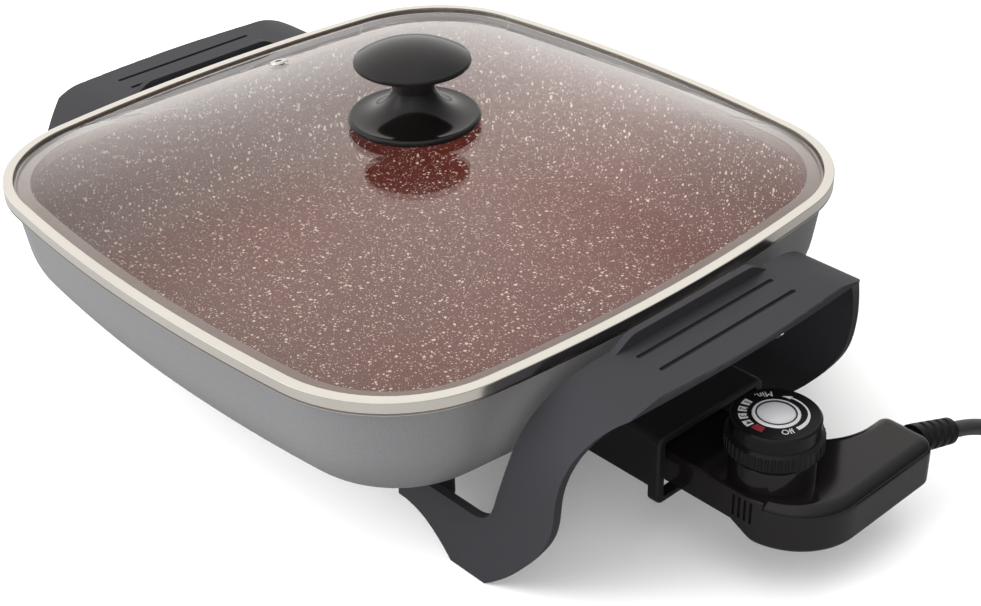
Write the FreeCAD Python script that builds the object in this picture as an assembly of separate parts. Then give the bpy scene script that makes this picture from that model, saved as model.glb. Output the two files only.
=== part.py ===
import FreeCAD, Part
import math
import os

V = FreeCAD.Vector
UP = V(0, 0, 1)
OUT = V(1, 0, 0)
BACK = V(0, 1, 0)

# All sizes are millimetres. X runs from the far grip to the control, Z up from the table.

# Lid and pan outline: four bowed sides joined by four corner arcs
lid_half = 155.0
side_radius = 800.0
corner_radius = 63.0

# Lid rim band, a thin steel channel clinched round the glass
rim_top = 104.0
rim_height = 6.0
band_steel = 1.0
band_lip = 4.5
band_shelf = 12.5
band_skirt = 4.0
band_round = 0.45

# Domed lid glass
glass_thickness = 4.0
glass_clearance = 0.1
crown_height = 21.0
crown_flat_half = 31.0
dome_power = 2.0
dome_steps = 6
vent_inset = 43.0
vent_from_centre = lid_half - vent_inset
vent_aside = 9.5
vent_bore_radius = 1.6
vent_tube_radius = 2.6
vent_flange_radius = 4.7
vent_flange_thickness = 0.8

# Lid knob: base disc with a flared stem, and a mushroom cap
knob_base_radius = 29.5
knob_base_edge = 3.2
knob_stem_radius = 9.0
knob_stem_top = 25.0
knob_cap_radius = 25.75
knob_cap_edge = 4.2
knob_cap_crown = 8.3
gasket_thickness = 1.0
gasket_radius = 24.0
knob_screw_radius = 2.5
knob_screw_head_radius = 5.0
knob_screw_head = 3.0
knob_washer_radius = 9.0
knob_washer_thickness = 1.2
insert_radius = 4.2
insert_length = 9.0
screw_gap = 0.2

# Cast pan
pan_edge_inset = 3.5
pan_draft = 0.14
pan_bottom = 41.5
pan_bottom_round = 37.0
pan_wall = 3.2
pan_floor = 3.6

# Heating tube cast under the pan, with its two end pins
element_height = 37.0
element_radius = 3.3
element_half = 82.0
element_corner = 45.0
element_entry_bend = 18.0
element_spread = 11.0
element_fit = 0.05
ridge_radius = 5.5
pin_radius = 2.3
pin_length = 21.0
collar_radius = 4.2
collar_length = 5.0

# Terminal block cast on the pan's edge, where the control plugs in
lug_inset = 5.0
lug_face = lid_half - lug_inset
pin_reach = lug_face + pin_length
lug_depth = 34.0
lug_half_width = 26.0
lug_top = 50.0
lug_bottom = 30.5
lug_round = 4.0
sensor_boss_radius = 7.0
sensor_reach = 45.0
sensor_tip = lug_face - sensor_reach
sensor_radius = 3.5
sensor_clearance = 0.35

# Handles: a ribbon bent into an arch, its legs ending in feet and arms
ribbon = 4.0
leg_face = 92.0
arch_round = 40.0
grip_top = 99.0
grip_gap = 5.5
grip_depth = 36.5
grip_inner = lid_half + grip_gap
grip_nose = 1.8
grip_bow_radius = 600.0
grip_outer = grip_inner + grip_depth
foot_inset = 36.0
foot_length = 20.0
foot_flat_in = lid_half - foot_inset
foot_flat_out = foot_flat_in + foot_length
arm_root_inset = 5.0
arm_root = foot_flat_out - arm_root_inset
arm_top = 32.0
arm_end_height = 17.0
pad_inset = 58.0
pad_place_x = lid_half - pad_inset
arm_margin = 9.0
arm_end = pad_place_x - arm_margin
lip_rise = 5.0
lip_half_top = 33.0
lip_half_foot = 48.0
lip_thickness = 3.2
groove_half_length = 39.0
groove_width = 2.2
groove_depth = 1.2
groove_places = (grip_inner + 10.0, grip_inner + 21.5)
edge_round = 1.2

# Handle fastening under the pan
pad_radius = 10.0
pad_bottom = 18.0
boss_radius = 6.5
boss_sunk = 5.0
boss_fit = 0.15
handle_screw_radius = 2.0
handle_screw_head_radius = 4.0
handle_screw_head = 2.6
handle_washer_thickness = 0.9
handle_screw_length = 16.0

# Guard round the control's socket
guard_half = 31.0
guard_top = 58.5
guard_skirt = 33.5
guard_cover = 19.0
guard_rear = lug_face - guard_cover
guard_reach = 26.0
guard_front = lug_face + guard_reach
guard_wall = 2.5
guard_frame_depth = 5.0
guard_frame_bottom = 26.0
guard_frame_wall = 3.0
guard_plate = 2.5
guard_round = 4.0
guard_screw_aside = 20.5
guard_screw_height = 43.0
guard_screw_radius = 2.0
guard_screw_head_radius = 3.6
guard_screw_head = 2.2
guard_screw_length = 14.0

# Control casing: a neck that enters the guard, and an arm turned along the guard
neck_gap = 10.0
neck_front = lug_face + neck_gap
dial_setback = 47.0
dial_x = neck_front + dial_setback
neck_half = 20.5
neck_bottom = 30.5
arm_bottom = 24.0
seam_height = 35.0
shoulder_height = 45.0
elbow_radius = 30.0
arm_aside = 7.5
arm_width = 27.0
arm_inner = dial_x + arm_aside
arm_outer = arm_inner + arm_width
arm_reach = 63.6
arm_outer_round = 7.5
arm_inner_round = 5.0
elbow_hollow = 33.0
casing_wall = 2.2
casing_edge_round = 2.2
neck_edge_round = 1.0
arm_edge_round = 5.5
arm_edge_start = dial_x + 11.5
step_start = dial_x - 3.0
step_end = dial_x + 10.0
slot_count = 4
slot_width = 1.3
slot_height = 10.0
slot_pitch = 2.8
slot_start = dial_x - 2.5
slot_depth = 1.0
slot_drop = 2.2

# Dial on the casing's turret
turret_radius = 17.2
turret_top = 56.0
turret_step = 1.4
dial_bottom = 57.2
dial_top = 71.5
dial_radius = 17.9
dial_skirt_radius = 19.6
dial_skirt_top = 64.5
dial_wall = 2.0
knurl_count = 48
knurl_radius = 0.7
bezel_radius = 9.4
lens_radius = 7.5
lens_rise = 1.0
disc_outer = 16.5
disc_thickness = 0.5
spindle_radius = 3.0
spindle_bottom = 43.6
spindle_top = 66.0
running_fit = 0.05
bush_radius = 5.0
hub_radius = 5.6

# Thermostat inside the casing
frame_thickness = 1.4
frame_half = 7.5
frame_front = neck_front + 18.0
frame_back = dial_x + 14.0
frame_plate_bottom = 41.2
stack_x = dial_x - 14.0
stack_radius = 4.2
blade_thickness = 0.4
blade_half = 3.2
blade_start = stack_x - 5.0
blade_end = dial_x + 14.0
fixed_blade_z = 33.3
moving_blade_z = 35.8
contact_x = dial_x + 11.0
contact_radius = 1.9
contact_height = 0.8
plunger_radius = 1.2
plunger_bottom = 37.8
plunger_travel = 1.2
rod_radius = 1.5
sleeve_radius = 3.2
sleeve_bore = 2.6
sleeve_length = 21.0
sleeve_inset = 0.6
block_front = neck_front + 4.0
block_depth = 11.0
block_half = 17.5
lamp_x = dial_x + 3.0
lamp_y = -11.4
lamp_radius = 2.6
lamp_height = 8.0
lamp_tab_half = 3.0
resistor_radius = 1.3
resistor_length = 7.0
resistor_x = dial_x + 9.5
resistor_y = -6.0
resistor_wire_radius = 0.35
wire_radius = 1.1

# Casing screws, driven from below
case_screws = ((dial_x - 18.0, -15.4), (arm_outer - 6.5, 6.0), (arm_inner + 7.5, 45.0))
case_screw_radius = 1.5
case_screw_head_radius = 2.8
case_screw_head = 1.8
case_boss_radius = 4.0
case_screw_length = 11.0

# Cord: ribbed boot, free run, coil and plug
cord_radius = 3.5
boot_x = arm_inner + 14.9
boot_base = V(boot_x, arm_reach, 38.0)
boot_heading = V(3.1, 23.6, -6.2)
boot_length = 24.6
boot_base_radius = 6.3
boot_end_radius = 5.7
boot_neck_radius = 4.6
boot_flange_radius = 5.8
boot_inner_length = 5.2
boot_fit = 0.25
boot_headroom = 1.1
boot_ribs = 5
boot_groove = 1.0
cord_height = 3.6
cord_route = (
    V(boot_x + 4.6, 105.6, 25.0),
    V(boot_x + 4.7, 115.8, 19.3),
    V(boot_x + 4.4, 127.0, 12.6),
    V(boot_x + 3.7, 138.6, 7.4),
    V(boot_x + 3.0, 150.8, 4.5),
    V(boot_x + 2.6, 163.2, 3.6),
    V(boot_x + 2.6, 174.6, 3.6),
)
cord_lead = 9.0
coil_turns = 5.5
coil_inner = 27.5
coil_pitch = 7.8
coil_climb = 7.7
coil_descent = 30.0
plug_axis_height = 9.0
plug_length = 30.0
plug_half_width = 17.5
plug_boot_length = 16.0
plug_pin_radius = 2.4
plug_pin_length = 19.0
plug_pin_spacing = 9.5
plug_earth_offset = 3.0

# The origin lies on the table at the middle of the length from the far grip to the control
origin_shift = V((grip_outer - arm_outer) / 2.0, 0, 0)
rim_bottom = rim_top - rim_height
glass_base = rim_bottom + band_steel + glass_clearance
glass_half = lid_half - band_steel - glass_clearance
glass_edge_top = rim_top - band_steel - glass_clearance
dome_half = lid_half - band_lip - 3 * glass_clearance
crown_top = rim_top + crown_height


def block(x0, x1, y0, y1, z0, z1):
    return Part.makeBox(x1 - x0, y1 - y0, z1 - z0, V(x0, y0, z0))


def rod(radius, start, direction, length):
    return Part.makeCylinder(radius, length, start, direction)


def outline(z, inset, half=lid_half, side=side_radius, corner=corner_radius):
    """Closed wire of the pan's plan shape, set in by the same amount all round."""
    side_centre = half - side
    gap = side - corner
    corner_centre = (side_centre + math.sqrt(2 * gap ** 2 - side_centre ** 2)) / 2
    turn = math.atan2(corner_centre, corner_centre - side_centre)

    def on_side(angle):
        reach = side - inset
        return V(side_centre + reach * math.cos(angle), reach * math.sin(angle), z)

    def on_corner(angle):
        reach = corner - inset
        return V(corner_centre + reach * math.cos(angle), corner_centre + reach * math.sin(angle), z)

    last = math.pi / 2 - turn
    quarter = [
        Part.Arc(on_side(-turn), on_side(0), on_side(turn)).toShape(),
        Part.Arc(on_corner(turn), on_corner(math.pi / 4), on_corner(last)).toShape(),
    ]
    edges = []
    for step in range(4):
        for edge in quarter:
            copy = edge.copy()
            copy.rotate(V(0, 0, 0), UP, 90 * step)
            edges.append(copy)
    return Part.Wire(edges)


def plate(z0, z1, inset):
    return Part.Face(outline(z0, inset)).extrude(V(0, 0, z1 - z0))


def band(z0, z1, inset_out, inset_in):
    return plate(z0, z1, inset_out).cut(plate(z0, z1, inset_in))


def face_of(edges):
    return Part.Face(Part.Wire([edge.toShape() for edge in edges]))


def polygon(points):
    return Part.Face(Part.makePolygon(list(points) + [points[0]]))


def turned(points, centre=V(0, 0, 0)):
    """Solid of revolution about Z from (radius, height) points."""
    profile = polygon([V(r, 0, z) for r, z in points])
    solid = profile.revolve(V(0, 0, 0), UP, 360)
    solid.translate(centre)
    return solid


def edges_at_height(shape, z, tolerance=0.01):
    found = []
    for edge in shape.Edges:
        box = edge.BoundBox
        if abs(box.ZMin - z) < tolerance and abs(box.ZMax - z) < tolerance:
            found.append(edge)
    return found


def cap_arc(radius, low, high):
    """Arc from a rim at the given radius up to the axis, level where it meets the axis."""
    rise = high - low
    sphere = (radius ** 2 + rise ** 2) / (2 * rise)
    half_angle = math.asin(radius / sphere) / 2
    middle = V(sphere * math.sin(half_angle), 0, high - sphere * (1 - math.cos(half_angle)))
    return Part.Arc(V(radius, 0, low), middle, V(0, 0, high))


def arc_through(start, corner, end):
    """Arc tangent to start-corner and corner-end, whose two legs are the same length."""
    chord = end - start
    middle = (start + end) * 0.5
    half_turn = (corner - start).getAngle(chord)
    rise = chord.Length / 2 * math.tan(half_turn / 2)
    return Part.Arc(start, middle + (corner - middle).normalize() * rise, end)


def tube_along(edges, radius):
    path = Part.Wire([edge.toShape() for edge in edges])
    first = edges[0]
    start = first.value(first.FirstParameter)
    heading = first.tangent(first.FirstParameter)[0]
    ring = Part.Wire(Part.makeCircle(radius, start, heading))
    return path.makePipeShell([ring], True, False)


# Lid

def dome_height(half):
    share = (half - crown_flat_half) / (dome_half - crown_flat_half)
    return crown_top - (crown_top - glass_edge_top) * share ** dome_power


def dome_solid():
    """Solid under the dome: a flat edge, then square-sided sections that turn nearly round."""
    sections = []
    for step in range(dome_steps + 1):
        share = step / dome_steps
        half = dome_half + (crown_flat_half - dome_half) * share
        side = half * (1 + (side_radius / lid_half - 1) * (1 - share) ** 2 + 0.3 * share)
        corner = half * (corner_radius / lid_half + 0.45 * share)
        sections.append(outline(dome_height(half), 0, half, side, corner))
    edge = Part.Face(outline(glass_base, 0, glass_half)).extrude(V(0, 0, glass_edge_top - glass_base))
    return edge.fuse(Part.makeLoft(sections, True, False)).removeSplitter()


def vent_frame():
    """Place and slope of the steam vent on the dome."""
    slope = (dome_height(vent_from_centre + 1) - dome_height(vent_from_centre - 1)) / 2
    tilt = math.degrees(math.atan(slope))
    height = dome_height(vent_from_centre) - glass_thickness / 2
    place = FreeCAD.Placement(V(-vent_from_centre, vent_aside, height), FreeCAD.Rotation(BACK, tilt))
    return place


def lid_glass():
    dome = dome_solid()
    hollow = dome.copy()
    hollow.translate(V(0, 0, -glass_thickness))
    shell = dome.cut(hollow)
    shell = shell.cut(rod(knob_screw_radius + 1.0, V(0, 0, rim_top), UP, 2 * crown_height))
    vent = rod(vent_tube_radius + glass_clearance, V(0, 0, -10), UP, 20)
    vent.Placement = vent_frame()
    return shell.cut(vent)


def lid_rim():
    outer = plate(rim_bottom, rim_top, 0)
    outer = outer.makeFillet(band_round, edges_at_height(outer, rim_top) + edges_at_height(outer, rim_bottom))
    hollow = plate(rim_bottom + band_steel, rim_top - band_steel, band_steel)
    mouth = plate(rim_top - band_steel, rim_top, band_lip)
    well = plate(rim_bottom, rim_bottom + band_steel, band_shelf)
    channel = outer.cut(hollow).cut(mouth).cut(well)
    skirt = band(rim_bottom - band_skirt, rim_bottom + band_steel, band_shelf - band_steel, band_shelf)
    return channel.fuse(skirt).removeSplitter()


def vent_eyelet():
    half = glass_thickness / 2 + glass_clearance
    eyelet = turned([
        (vent_bore_radius, -half - vent_flange_thickness),
        (vent_flange_radius, -half - vent_flange_thickness),
        (vent_flange_radius, -half),
        (vent_tube_radius, -half),
        (vent_tube_radius, half),
        (vent_flange_radius, half),
        (vent_flange_radius - 0.5, half + vent_flange_thickness),
        (vent_bore_radius, half + vent_flange_thickness),
    ])
    eyelet.Placement = vent_frame()
    return eyelet


def knob_gasket():
    ring = Part.makeCylinder(gasket_radius, gasket_thickness, V(0, 0, crown_top))
    return ring.cut(rod(knob_screw_radius + screw_gap, V(0, 0, crown_top), UP, gasket_thickness))


def knob_base():
    """Disc with a rolled edge whose top sweeps up into the stem."""
    low = crown_top + gasket_thickness
    edge = low + knob_base_edge
    top = crown_top + knob_stem_top
    side = knob_base_radius
    recess = gasket_radius - 2.0
    flare_start = V(side - 2.0, 0, edge)
    flare_end = V(knob_stem_radius, 0, top)
    profile = [
        Part.LineSegment(V(knob_screw_radius + screw_gap, 0, low), V(recess, 0, low)),
        Part.LineSegment(V(recess, 0, low), V(side - 1.6, 0, low)),
        Part.Arc(V(side - 1.6, 0, low), V(side, 0, low + 1.6), V(flare_start.x, 0, edge)),
        Part.Arc(flare_start, V(knob_stem_radius + 5.6, 0, edge + 4.4), V(knob_stem_radius + 0.6, 0, edge + 12)),
        Part.LineSegment(V(knob_stem_radius + 0.6, 0, edge + 12), flare_end),
        Part.LineSegment(flare_end, V(knob_screw_radius + screw_gap, 0, top)),
        Part.LineSegment(V(knob_screw_radius + screw_gap, 0, top), V(knob_screw_radius + screw_gap, 0, low)),
    ]
    return face_of(profile).revolve(V(0, 0, 0), UP, 360)


def knob_cap():
    low = crown_top + knob_stem_top
    edge = low + knob_cap_edge
    top = edge + knob_cap_crown
    side = knob_cap_radius
    bore = insert_radius + glass_clearance
    bore_top = low + insert_length
    profile = [
        Part.LineSegment(V(bore, 0, low), V(knob_stem_radius + 1.5, 0, low)),
        Part.Arc(V(knob_stem_radius + 1.5, 0, low), V(side - 6, 0, low + 0.9), V(side - 1, 0, edge - 1.5)),
        Part.Arc(V(side - 1, 0, edge - 1.5), V(side, 0, edge), V(side - 1, 0, edge + 1.2)),
        cap_arc(side - 1, edge + 1.2, top),
        Part.LineSegment(V(0, 0, top), V(0, 0, bore_top)),
        Part.LineSegment(V(0, 0, bore_top), V(bore, 0, bore_top)),
        Part.LineSegment(V(bore, 0, bore_top), V(bore, 0, low)),
    ]
    return face_of(profile).revolve(V(0, 0, 0), UP, 360)


def knob_insert():
    low = crown_top + knob_stem_top
    length = insert_length - screw_gap
    body = rod(insert_radius, V(0, 0, low), UP, length)
    return body.cut(rod(knob_screw_radius + glass_clearance, V(0, 0, low), UP, length - 2))


def knob_washer():
    low = crown_top - glass_thickness - knob_washer_thickness
    ring = rod(knob_washer_radius, V(0, 0, low), UP, knob_washer_thickness)
    return ring.cut(rod(knob_screw_radius + screw_gap, V(0, 0, low), UP, knob_washer_thickness))


def knob_screw():
    seat = crown_top - glass_thickness - knob_washer_thickness
    top = crown_top + knob_stem_top + insert_length - 2.5
    head = rod(knob_screw_head_radius, V(0, 0, seat - knob_screw_head), UP, knob_screw_head)
    slot = block(-0.6, 0.6, -6, 6, seat - knob_screw_head, seat - knob_screw_head + 1.2)
    head = head.makeChamfer(0.9, edges_at_height(head, seat - knob_screw_head)).cut(slot)
    return head.fuse(rod(knob_screw_radius, V(0, 0, seat), UP, top - seat))


# Pan

def pan_form(grow, low, rounding, high=rim_bottom):
    """Drafted tub with a rounded foot: the outside, or with a negative growth the inside."""
    drop = rim_bottom - low
    top = outline(high, pan_edge_inset - grow - pan_draft * (high - rim_bottom))
    foot = outline(low, pan_edge_inset - grow + pan_draft * drop)
    tub = Part.makeLoft([top, foot], True, True)
    return tub.makeFillet(rounding, edges_at_height(tub, low))


def element_wire():
    """Open loop in the level plane: in at one pin, round the pan and out at the other."""
    z = element_height
    half = element_half
    bend = element_corner
    entry = element_entry_bend
    straight = half - bend
    turn_y = element_spread + entry

    def at(x, y):
        return V(x, y, z)

    def on_circle(x, y, radius, degrees):
        angle = math.radians(degrees)
        return V(x + radius * math.cos(angle), y + radius * math.sin(angle), z)

    edges = [
        Part.LineSegment(at(lug_face, element_spread), at(half + entry, element_spread)),
        Part.Arc(at(half + entry, element_spread), on_circle(half + entry, turn_y, entry, 225), at(half, turn_y)),
        Part.LineSegment(at(half, turn_y), at(half, straight)),
        Part.Arc(at(half, straight), on_circle(straight, straight, bend, 45), at(straight, half)),
        Part.LineSegment(at(straight, half), at(-straight, half)),
        Part.Arc(at(-straight, half), on_circle(-straight, straight, bend, 135), at(-half, straight)),
        Part.LineSegment(at(-half, straight), at(-half, 0)),
    ]
    there = [edge.toShape() for edge in edges]
    back = [edge.mirror(V(0, 0, 0), BACK) for edge in reversed(there)]
    return Part.Wire(there + back)


def element_tube(radius):
    ring = Part.Wire(Part.makeCircle(radius, V(lug_face, element_spread, element_height), OUT))
    return element_wire().makePipeShell([ring], True, False)


def handle_pads():
    pad_y = leg_face - pad_radius
    return [V(sx * pad_place_x, sy * pad_y, 0) for sx in (1, -1) for sy in (1, -1)]


def pan_body():
    body = pan_form(0, pan_bottom, pan_bottom_round)
    lug = block(lug_face - lug_depth, lug_face, -lug_half_width, lug_half_width, lug_bottom, lug_top)
    lug = lug.makeFillet(lug_round, [e for e in lug.Edges if abs(e.BoundBox.XMin - e.BoundBox.XMax) > 1])
    body = body.fuse(lug)
    body = body.fuse(element_tube(ridge_radius))
    sensor_end = sensor_tip - 6
    body = body.fuse(rod(sensor_boss_radius, V(sensor_end, 0, element_height), OUT, lug_face - sensor_end))
    for pad in handle_pads():
        body = body.fuse(rod(boss_radius, V(pad.x, pad.y, arm_top - boss_sunk), UP,
                             pan_bottom + 1 - arm_top + boss_sunk))
    body = body.cut(pan_form(-pan_wall, pan_bottom + pan_floor, pan_bottom_round - pan_wall, rim_bottom + 1))
    body = body.cut(element_tube(element_radius + element_fit))
    hole = sensor_radius + sensor_clearance
    body = body.cut(rod(hole, V(sensor_tip - 1, 0, element_height), OUT, lug_face - sensor_tip + 1))
    for pad in handle_pads():
        body = body.cut(rod(handle_screw_radius + element_fit, V(pad.x, pad.y, arm_top - boss_sunk), UP,
                            handle_screw_length - 5))
    for side in (1, -1):
        start = V(lug_face - guard_screw_length, side * guard_screw_aside, guard_screw_height)
        body = body.cut(rod(guard_screw_radius + element_fit, start, OUT, guard_screw_length))
    return body.removeSplitter()


def heating_element():
    return element_tube(element_radius)


def terminal_pins():
    pins = []
    for side in (1, -1):
        start = V(lug_face, side * element_spread, element_height)
        pin = rod(pin_radius, start, OUT, pin_reach - lug_face)
        tip = [e for e in pin.Edges if e.BoundBox.XMin > pin_reach - 0.1]
        pins.append(pin.makeChamfer(1.0, tip))
    return Part.makeCompound(pins)


def terminal_collars():
    collars = []
    for side in (1, -1):
        start = V(lug_face, side * element_spread, element_height)
        ring = rod(collar_radius, start, OUT, collar_length)
        collars.append(ring.cut(rod(pin_radius + element_fit, start, OUT, collar_length)))
    return Part.makeCompound(collars)


# Handles

def arch_ribbon():
    """Inverted U seen along X, the full depth of the handle."""

    def arch(face_y, top, rounding):
        slant = rounding * (1 - math.sqrt(0.5))
        return face_of([
            Part.LineSegment(V(0, -face_y, 0), V(0, -face_y, top - rounding)),
            Part.Arc(V(0, -face_y, top - rounding), V(0, -face_y + slant, top - slant),
                     V(0, -face_y + rounding, top)),
            Part.LineSegment(V(0, -face_y + rounding, top), V(0, face_y - rounding, top)),
            Part.Arc(V(0, face_y - rounding, top), V(0, face_y - slant, top - slant),
                     V(0, face_y, top - rounding)),
            Part.LineSegment(V(0, face_y, top - rounding), V(0, face_y, 0)),
            Part.LineSegment(V(0, face_y, 0), V(0, -face_y, 0)),
        ]).extrude(V(grip_outer, 0, 0))

    outer = arch(leg_face, grip_top, arch_round)
    return outer.cut(arch(leg_face - ribbon, grip_top - ribbon, arch_round - ribbon))


def side_profile():
    """Handle seen along Y: broad grip, waisted leg, foot and the arm under the pan."""

    def spot(x, z):
        return V(x, -leg_face - 1, z)

    def curve(start, shares, end):
        """Smooth curve whose inner points are shares of the way across and up from start to end."""
        way = end - start
        line = Part.BSplineCurve()
        line.interpolate([start] + [start + V(way.x * across, 0, way.z * up) for across, up in shares] + [end])
        return line

    front = curve(spot(foot_flat_out, 0), ((0.241, 0.125), (0.510, 0.324), (0.640, 0.473), (0.679, 0.617),
                                           (0.716, 0.785), (0.810, 0.915)), spot(grip_outer, grip_top - grip_nose))
    under = curve(spot(foot_flat_in, 0), ((0.177, 0.353), (0.419, 0.706)), spot(arm_end, arm_end_height))
    inner = curve(spot(arm_root, arm_top), ((0.283, 0.052), (0.509, 0.254), (0.702, 0.5), (0.808, 0.746)),
                  spot(grip_inner, grip_top))
    edges = [
        Part.LineSegment(spot(grip_inner, grip_top + 1), spot(grip_outer, grip_top + 1)),
        Part.LineSegment(spot(grip_outer, grip_top + 1), spot(grip_outer, grip_top - grip_nose)),
        front,
        Part.LineSegment(spot(foot_flat_out, 0), spot(foot_flat_in, 0)),
        under,
        Part.LineSegment(spot(arm_end, arm_end_height), spot(arm_end, arm_top)),
        Part.LineSegment(spot(arm_end, arm_top), spot(arm_root, arm_top)),
        inner,
        Part.LineSegment(spot(grip_inner, grip_top), spot(grip_inner, grip_top + 1)),
    ]
    return face_of(edges).extrude(V(0, 2 * leg_face + 2, 0))


def finger_lip():
    """Low wall along the inner edge of the grip, its ends swept down to the grip."""
    x = grip_inner
    low = grip_top - ribbon
    high = grip_top + lip_rise
    ends = []
    for sign in (-1, 1):
        curve = Part.BSplineCurve()
        curve.interpolate([V(x, sign * lip_half_foot, grip_top - 0.5), V(x, sign * 43, grip_top + 0.8),
                           V(x, sign * 38, grip_top + 3.6), V(x, sign * lip_half_top, high)])
        ends.append(curve)
    wall = face_of([
        ends[0],
        Part.LineSegment(V(x, -lip_half_top, high), V(x, lip_half_top, high)),
        ends[1],
        Part.LineSegment(V(x, lip_half_foot, grip_top - 0.5), V(x, lip_half_foot, low)),
        Part.LineSegment(V(x, lip_half_foot, low), V(x, -lip_half_foot, low)),
        Part.LineSegment(V(x, -lip_half_foot, low), V(x, -lip_half_foot, grip_top - 0.5)),
    ])
    return wall.extrude(V(lip_thickness, 0, 0))


def grip_groove(x):
    low = grip_top - groove_depth
    width = groove_width / 2
    cut = block(x - width, x + width, -groove_half_length, groove_half_length, low, grip_top)
    for sign in (1, -1):
        cut = cut.fuse(rod(width, V(x, sign * groove_half_length, low), UP, groove_depth))
    return cut


def right_handle():
    handle = arch_ribbon().common(side_profile())
    bow = rod(grip_bow_radius, V(grip_outer - grip_bow_radius, 0, 0), UP, grip_top)
    handle = handle.common(bow.makeFillet(edge_round, edges_at_height(bow, grip_top)))
    handle = handle.fuse(finger_lip())
    for x in groove_places:
        handle = handle.cut(grip_groove(x))
    for sign in (1, -1):
        centre = V(pad_place_x, sign * (leg_face - pad_radius), 0)
        handle = handle.fuse(rod(pad_radius, centre + UP * pad_bottom, UP, arm_top - pad_bottom))
        handle = handle.cut(rod(boss_radius + boss_fit, centre + UP * (arm_top - boss_sunk), UP, boss_sunk))
        handle = handle.cut(rod(handle_screw_radius + 0.3, centre + UP * pad_bottom, UP, arm_top))
        sink = pad_bottom + handle_screw_head
        handle = handle.cut(rod(handle_screw_head_radius + 0.7, centre, UP, sink + handle_washer_thickness))
    return handle.removeSplitter()


def left_handle():
    handle = right_handle()
    handle.rotate(V(0, 0, 0), UP, 180)
    return handle


def handle_washers():
    rings = []
    for pad in handle_pads():
        low = V(pad.x, pad.y, pad_bottom + handle_screw_head)
        ring = rod(handle_screw_head_radius, low, UP, handle_washer_thickness)
        rings.append(ring.cut(rod(handle_screw_radius + 0.1, low, UP, handle_washer_thickness)))
    return Part.makeCompound(rings)


def handle_screws():
    screws = []
    for pad in handle_pads():
        low = V(pad.x, pad.y, pad_bottom)
        head = rod(handle_screw_head_radius, low, UP, handle_screw_head)
        head = head.makeChamfer(0.8, edges_at_height(head, pad_bottom))
        slot = block(pad.x - 3, pad.x + 3, pad.y - 0.5, pad.y + 0.5, pad_bottom, pad_bottom + 1.2)
        slot = slot.fuse(block(pad.x - 0.5, pad.x + 0.5, pad.y - 3, pad.y + 3, pad_bottom, pad_bottom + 1.2))
        shank = rod(handle_screw_radius, low + UP * handle_screw_head, UP, handle_screw_length)
        screws.append(head.cut(slot).fuse(shank))
    return Part.makeCompound(screws)


# Guard

def probe_guard():
    """Hood open below, scribed to the pan, with a plate behind and a frame round its mouth."""
    frame_x = guard_front - guard_frame_depth
    hood = block(guard_rear, frame_x, -guard_half, guard_half, guard_skirt, guard_top)
    long_top = [e for e in edges_at_height(hood, guard_top) if e.BoundBox.XMax - e.BoundBox.XMin > 5]
    hood = hood.makeFillet(guard_round - 1, long_top)
    hood = hood.cut(block(guard_rear, frame_x, guard_wall - guard_half, guard_half - guard_wall,
                          guard_skirt, guard_top - guard_wall))
    frame = block(frame_x, guard_front, -guard_half - 0.8, guard_half + 0.8, guard_frame_bottom, guard_top)
    along_x = [e for e in frame.Edges if e.BoundBox.XMax - e.BoundBox.XMin > 1]
    frame = frame.makeFillet(guard_round, along_x)
    rim = [e for e in frame.Edges if e.BoundBox.XMin > guard_front - 0.01]
    frame = frame.makeFillet(1.2, rim)
    wall = guard_frame_wall
    mouth = block(frame_x, guard_front, wall - guard_half, guard_half - wall,
                  guard_frame_bottom + wall, guard_top - wall)
    mouth = mouth.makeFillet(1.5, [e for e in mouth.Edges if e.BoundBox.XMax - e.BoundBox.XMin > 1])
    screen = block(lug_face, lug_face + guard_plate, -guard_half + 1, guard_half - 1, guard_skirt, guard_top - 1)
    guard = hood.fuse(screen).fuse(frame.cut(mouth))
    for side in (1, -1):
        guard = guard.cut(rod(collar_radius + 0.4, V(lug_face, side * element_spread, element_height), OUT,
                              guard_plate))
        guard = guard.cut(rod(guard_screw_radius + 0.3,
                              V(lug_face, side * guard_screw_aside, guard_screw_height), OUT, guard_plate))
    guard = guard.cut(rod(sensor_radius + 0.8, V(lug_face, 0, element_height), OUT, guard_plate))
    guard = guard.cut(pan_form(0.4, pan_bottom - 0.4, pan_bottom_round))
    lug_room = block(guard_rear - 20, lug_face, -lug_half_width - 0.4, lug_half_width + 0.4, 20, lug_top + 0.4)
    return guard.cut(lug_room).removeSplitter()


def guard_screws():
    screws = []
    for side in (1, -1):
        seat = V(lug_face + guard_plate, side * guard_screw_aside, guard_screw_height)
        head = rod(guard_screw_head_radius, seat, OUT, guard_screw_head)
        far = [e for e in head.Edges if e.BoundBox.XMin > seat.x + guard_screw_head - 0.1]
        head = head.makeChamfer(0.7, far)
        slot = block(seat.x + guard_screw_head - 1, seat.x + guard_screw_head, seat.y - 3, seat.y + 3,
                     seat.z - 0.5, seat.z + 0.5)
        shank = rod(guard_screw_radius, seat - OUT * (guard_screw_length - 1), OUT, guard_screw_length - 1)
        screws.append(head.cut(slot).fuse(shank))
    return Part.makeCompound(screws)


# Control casing

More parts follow.
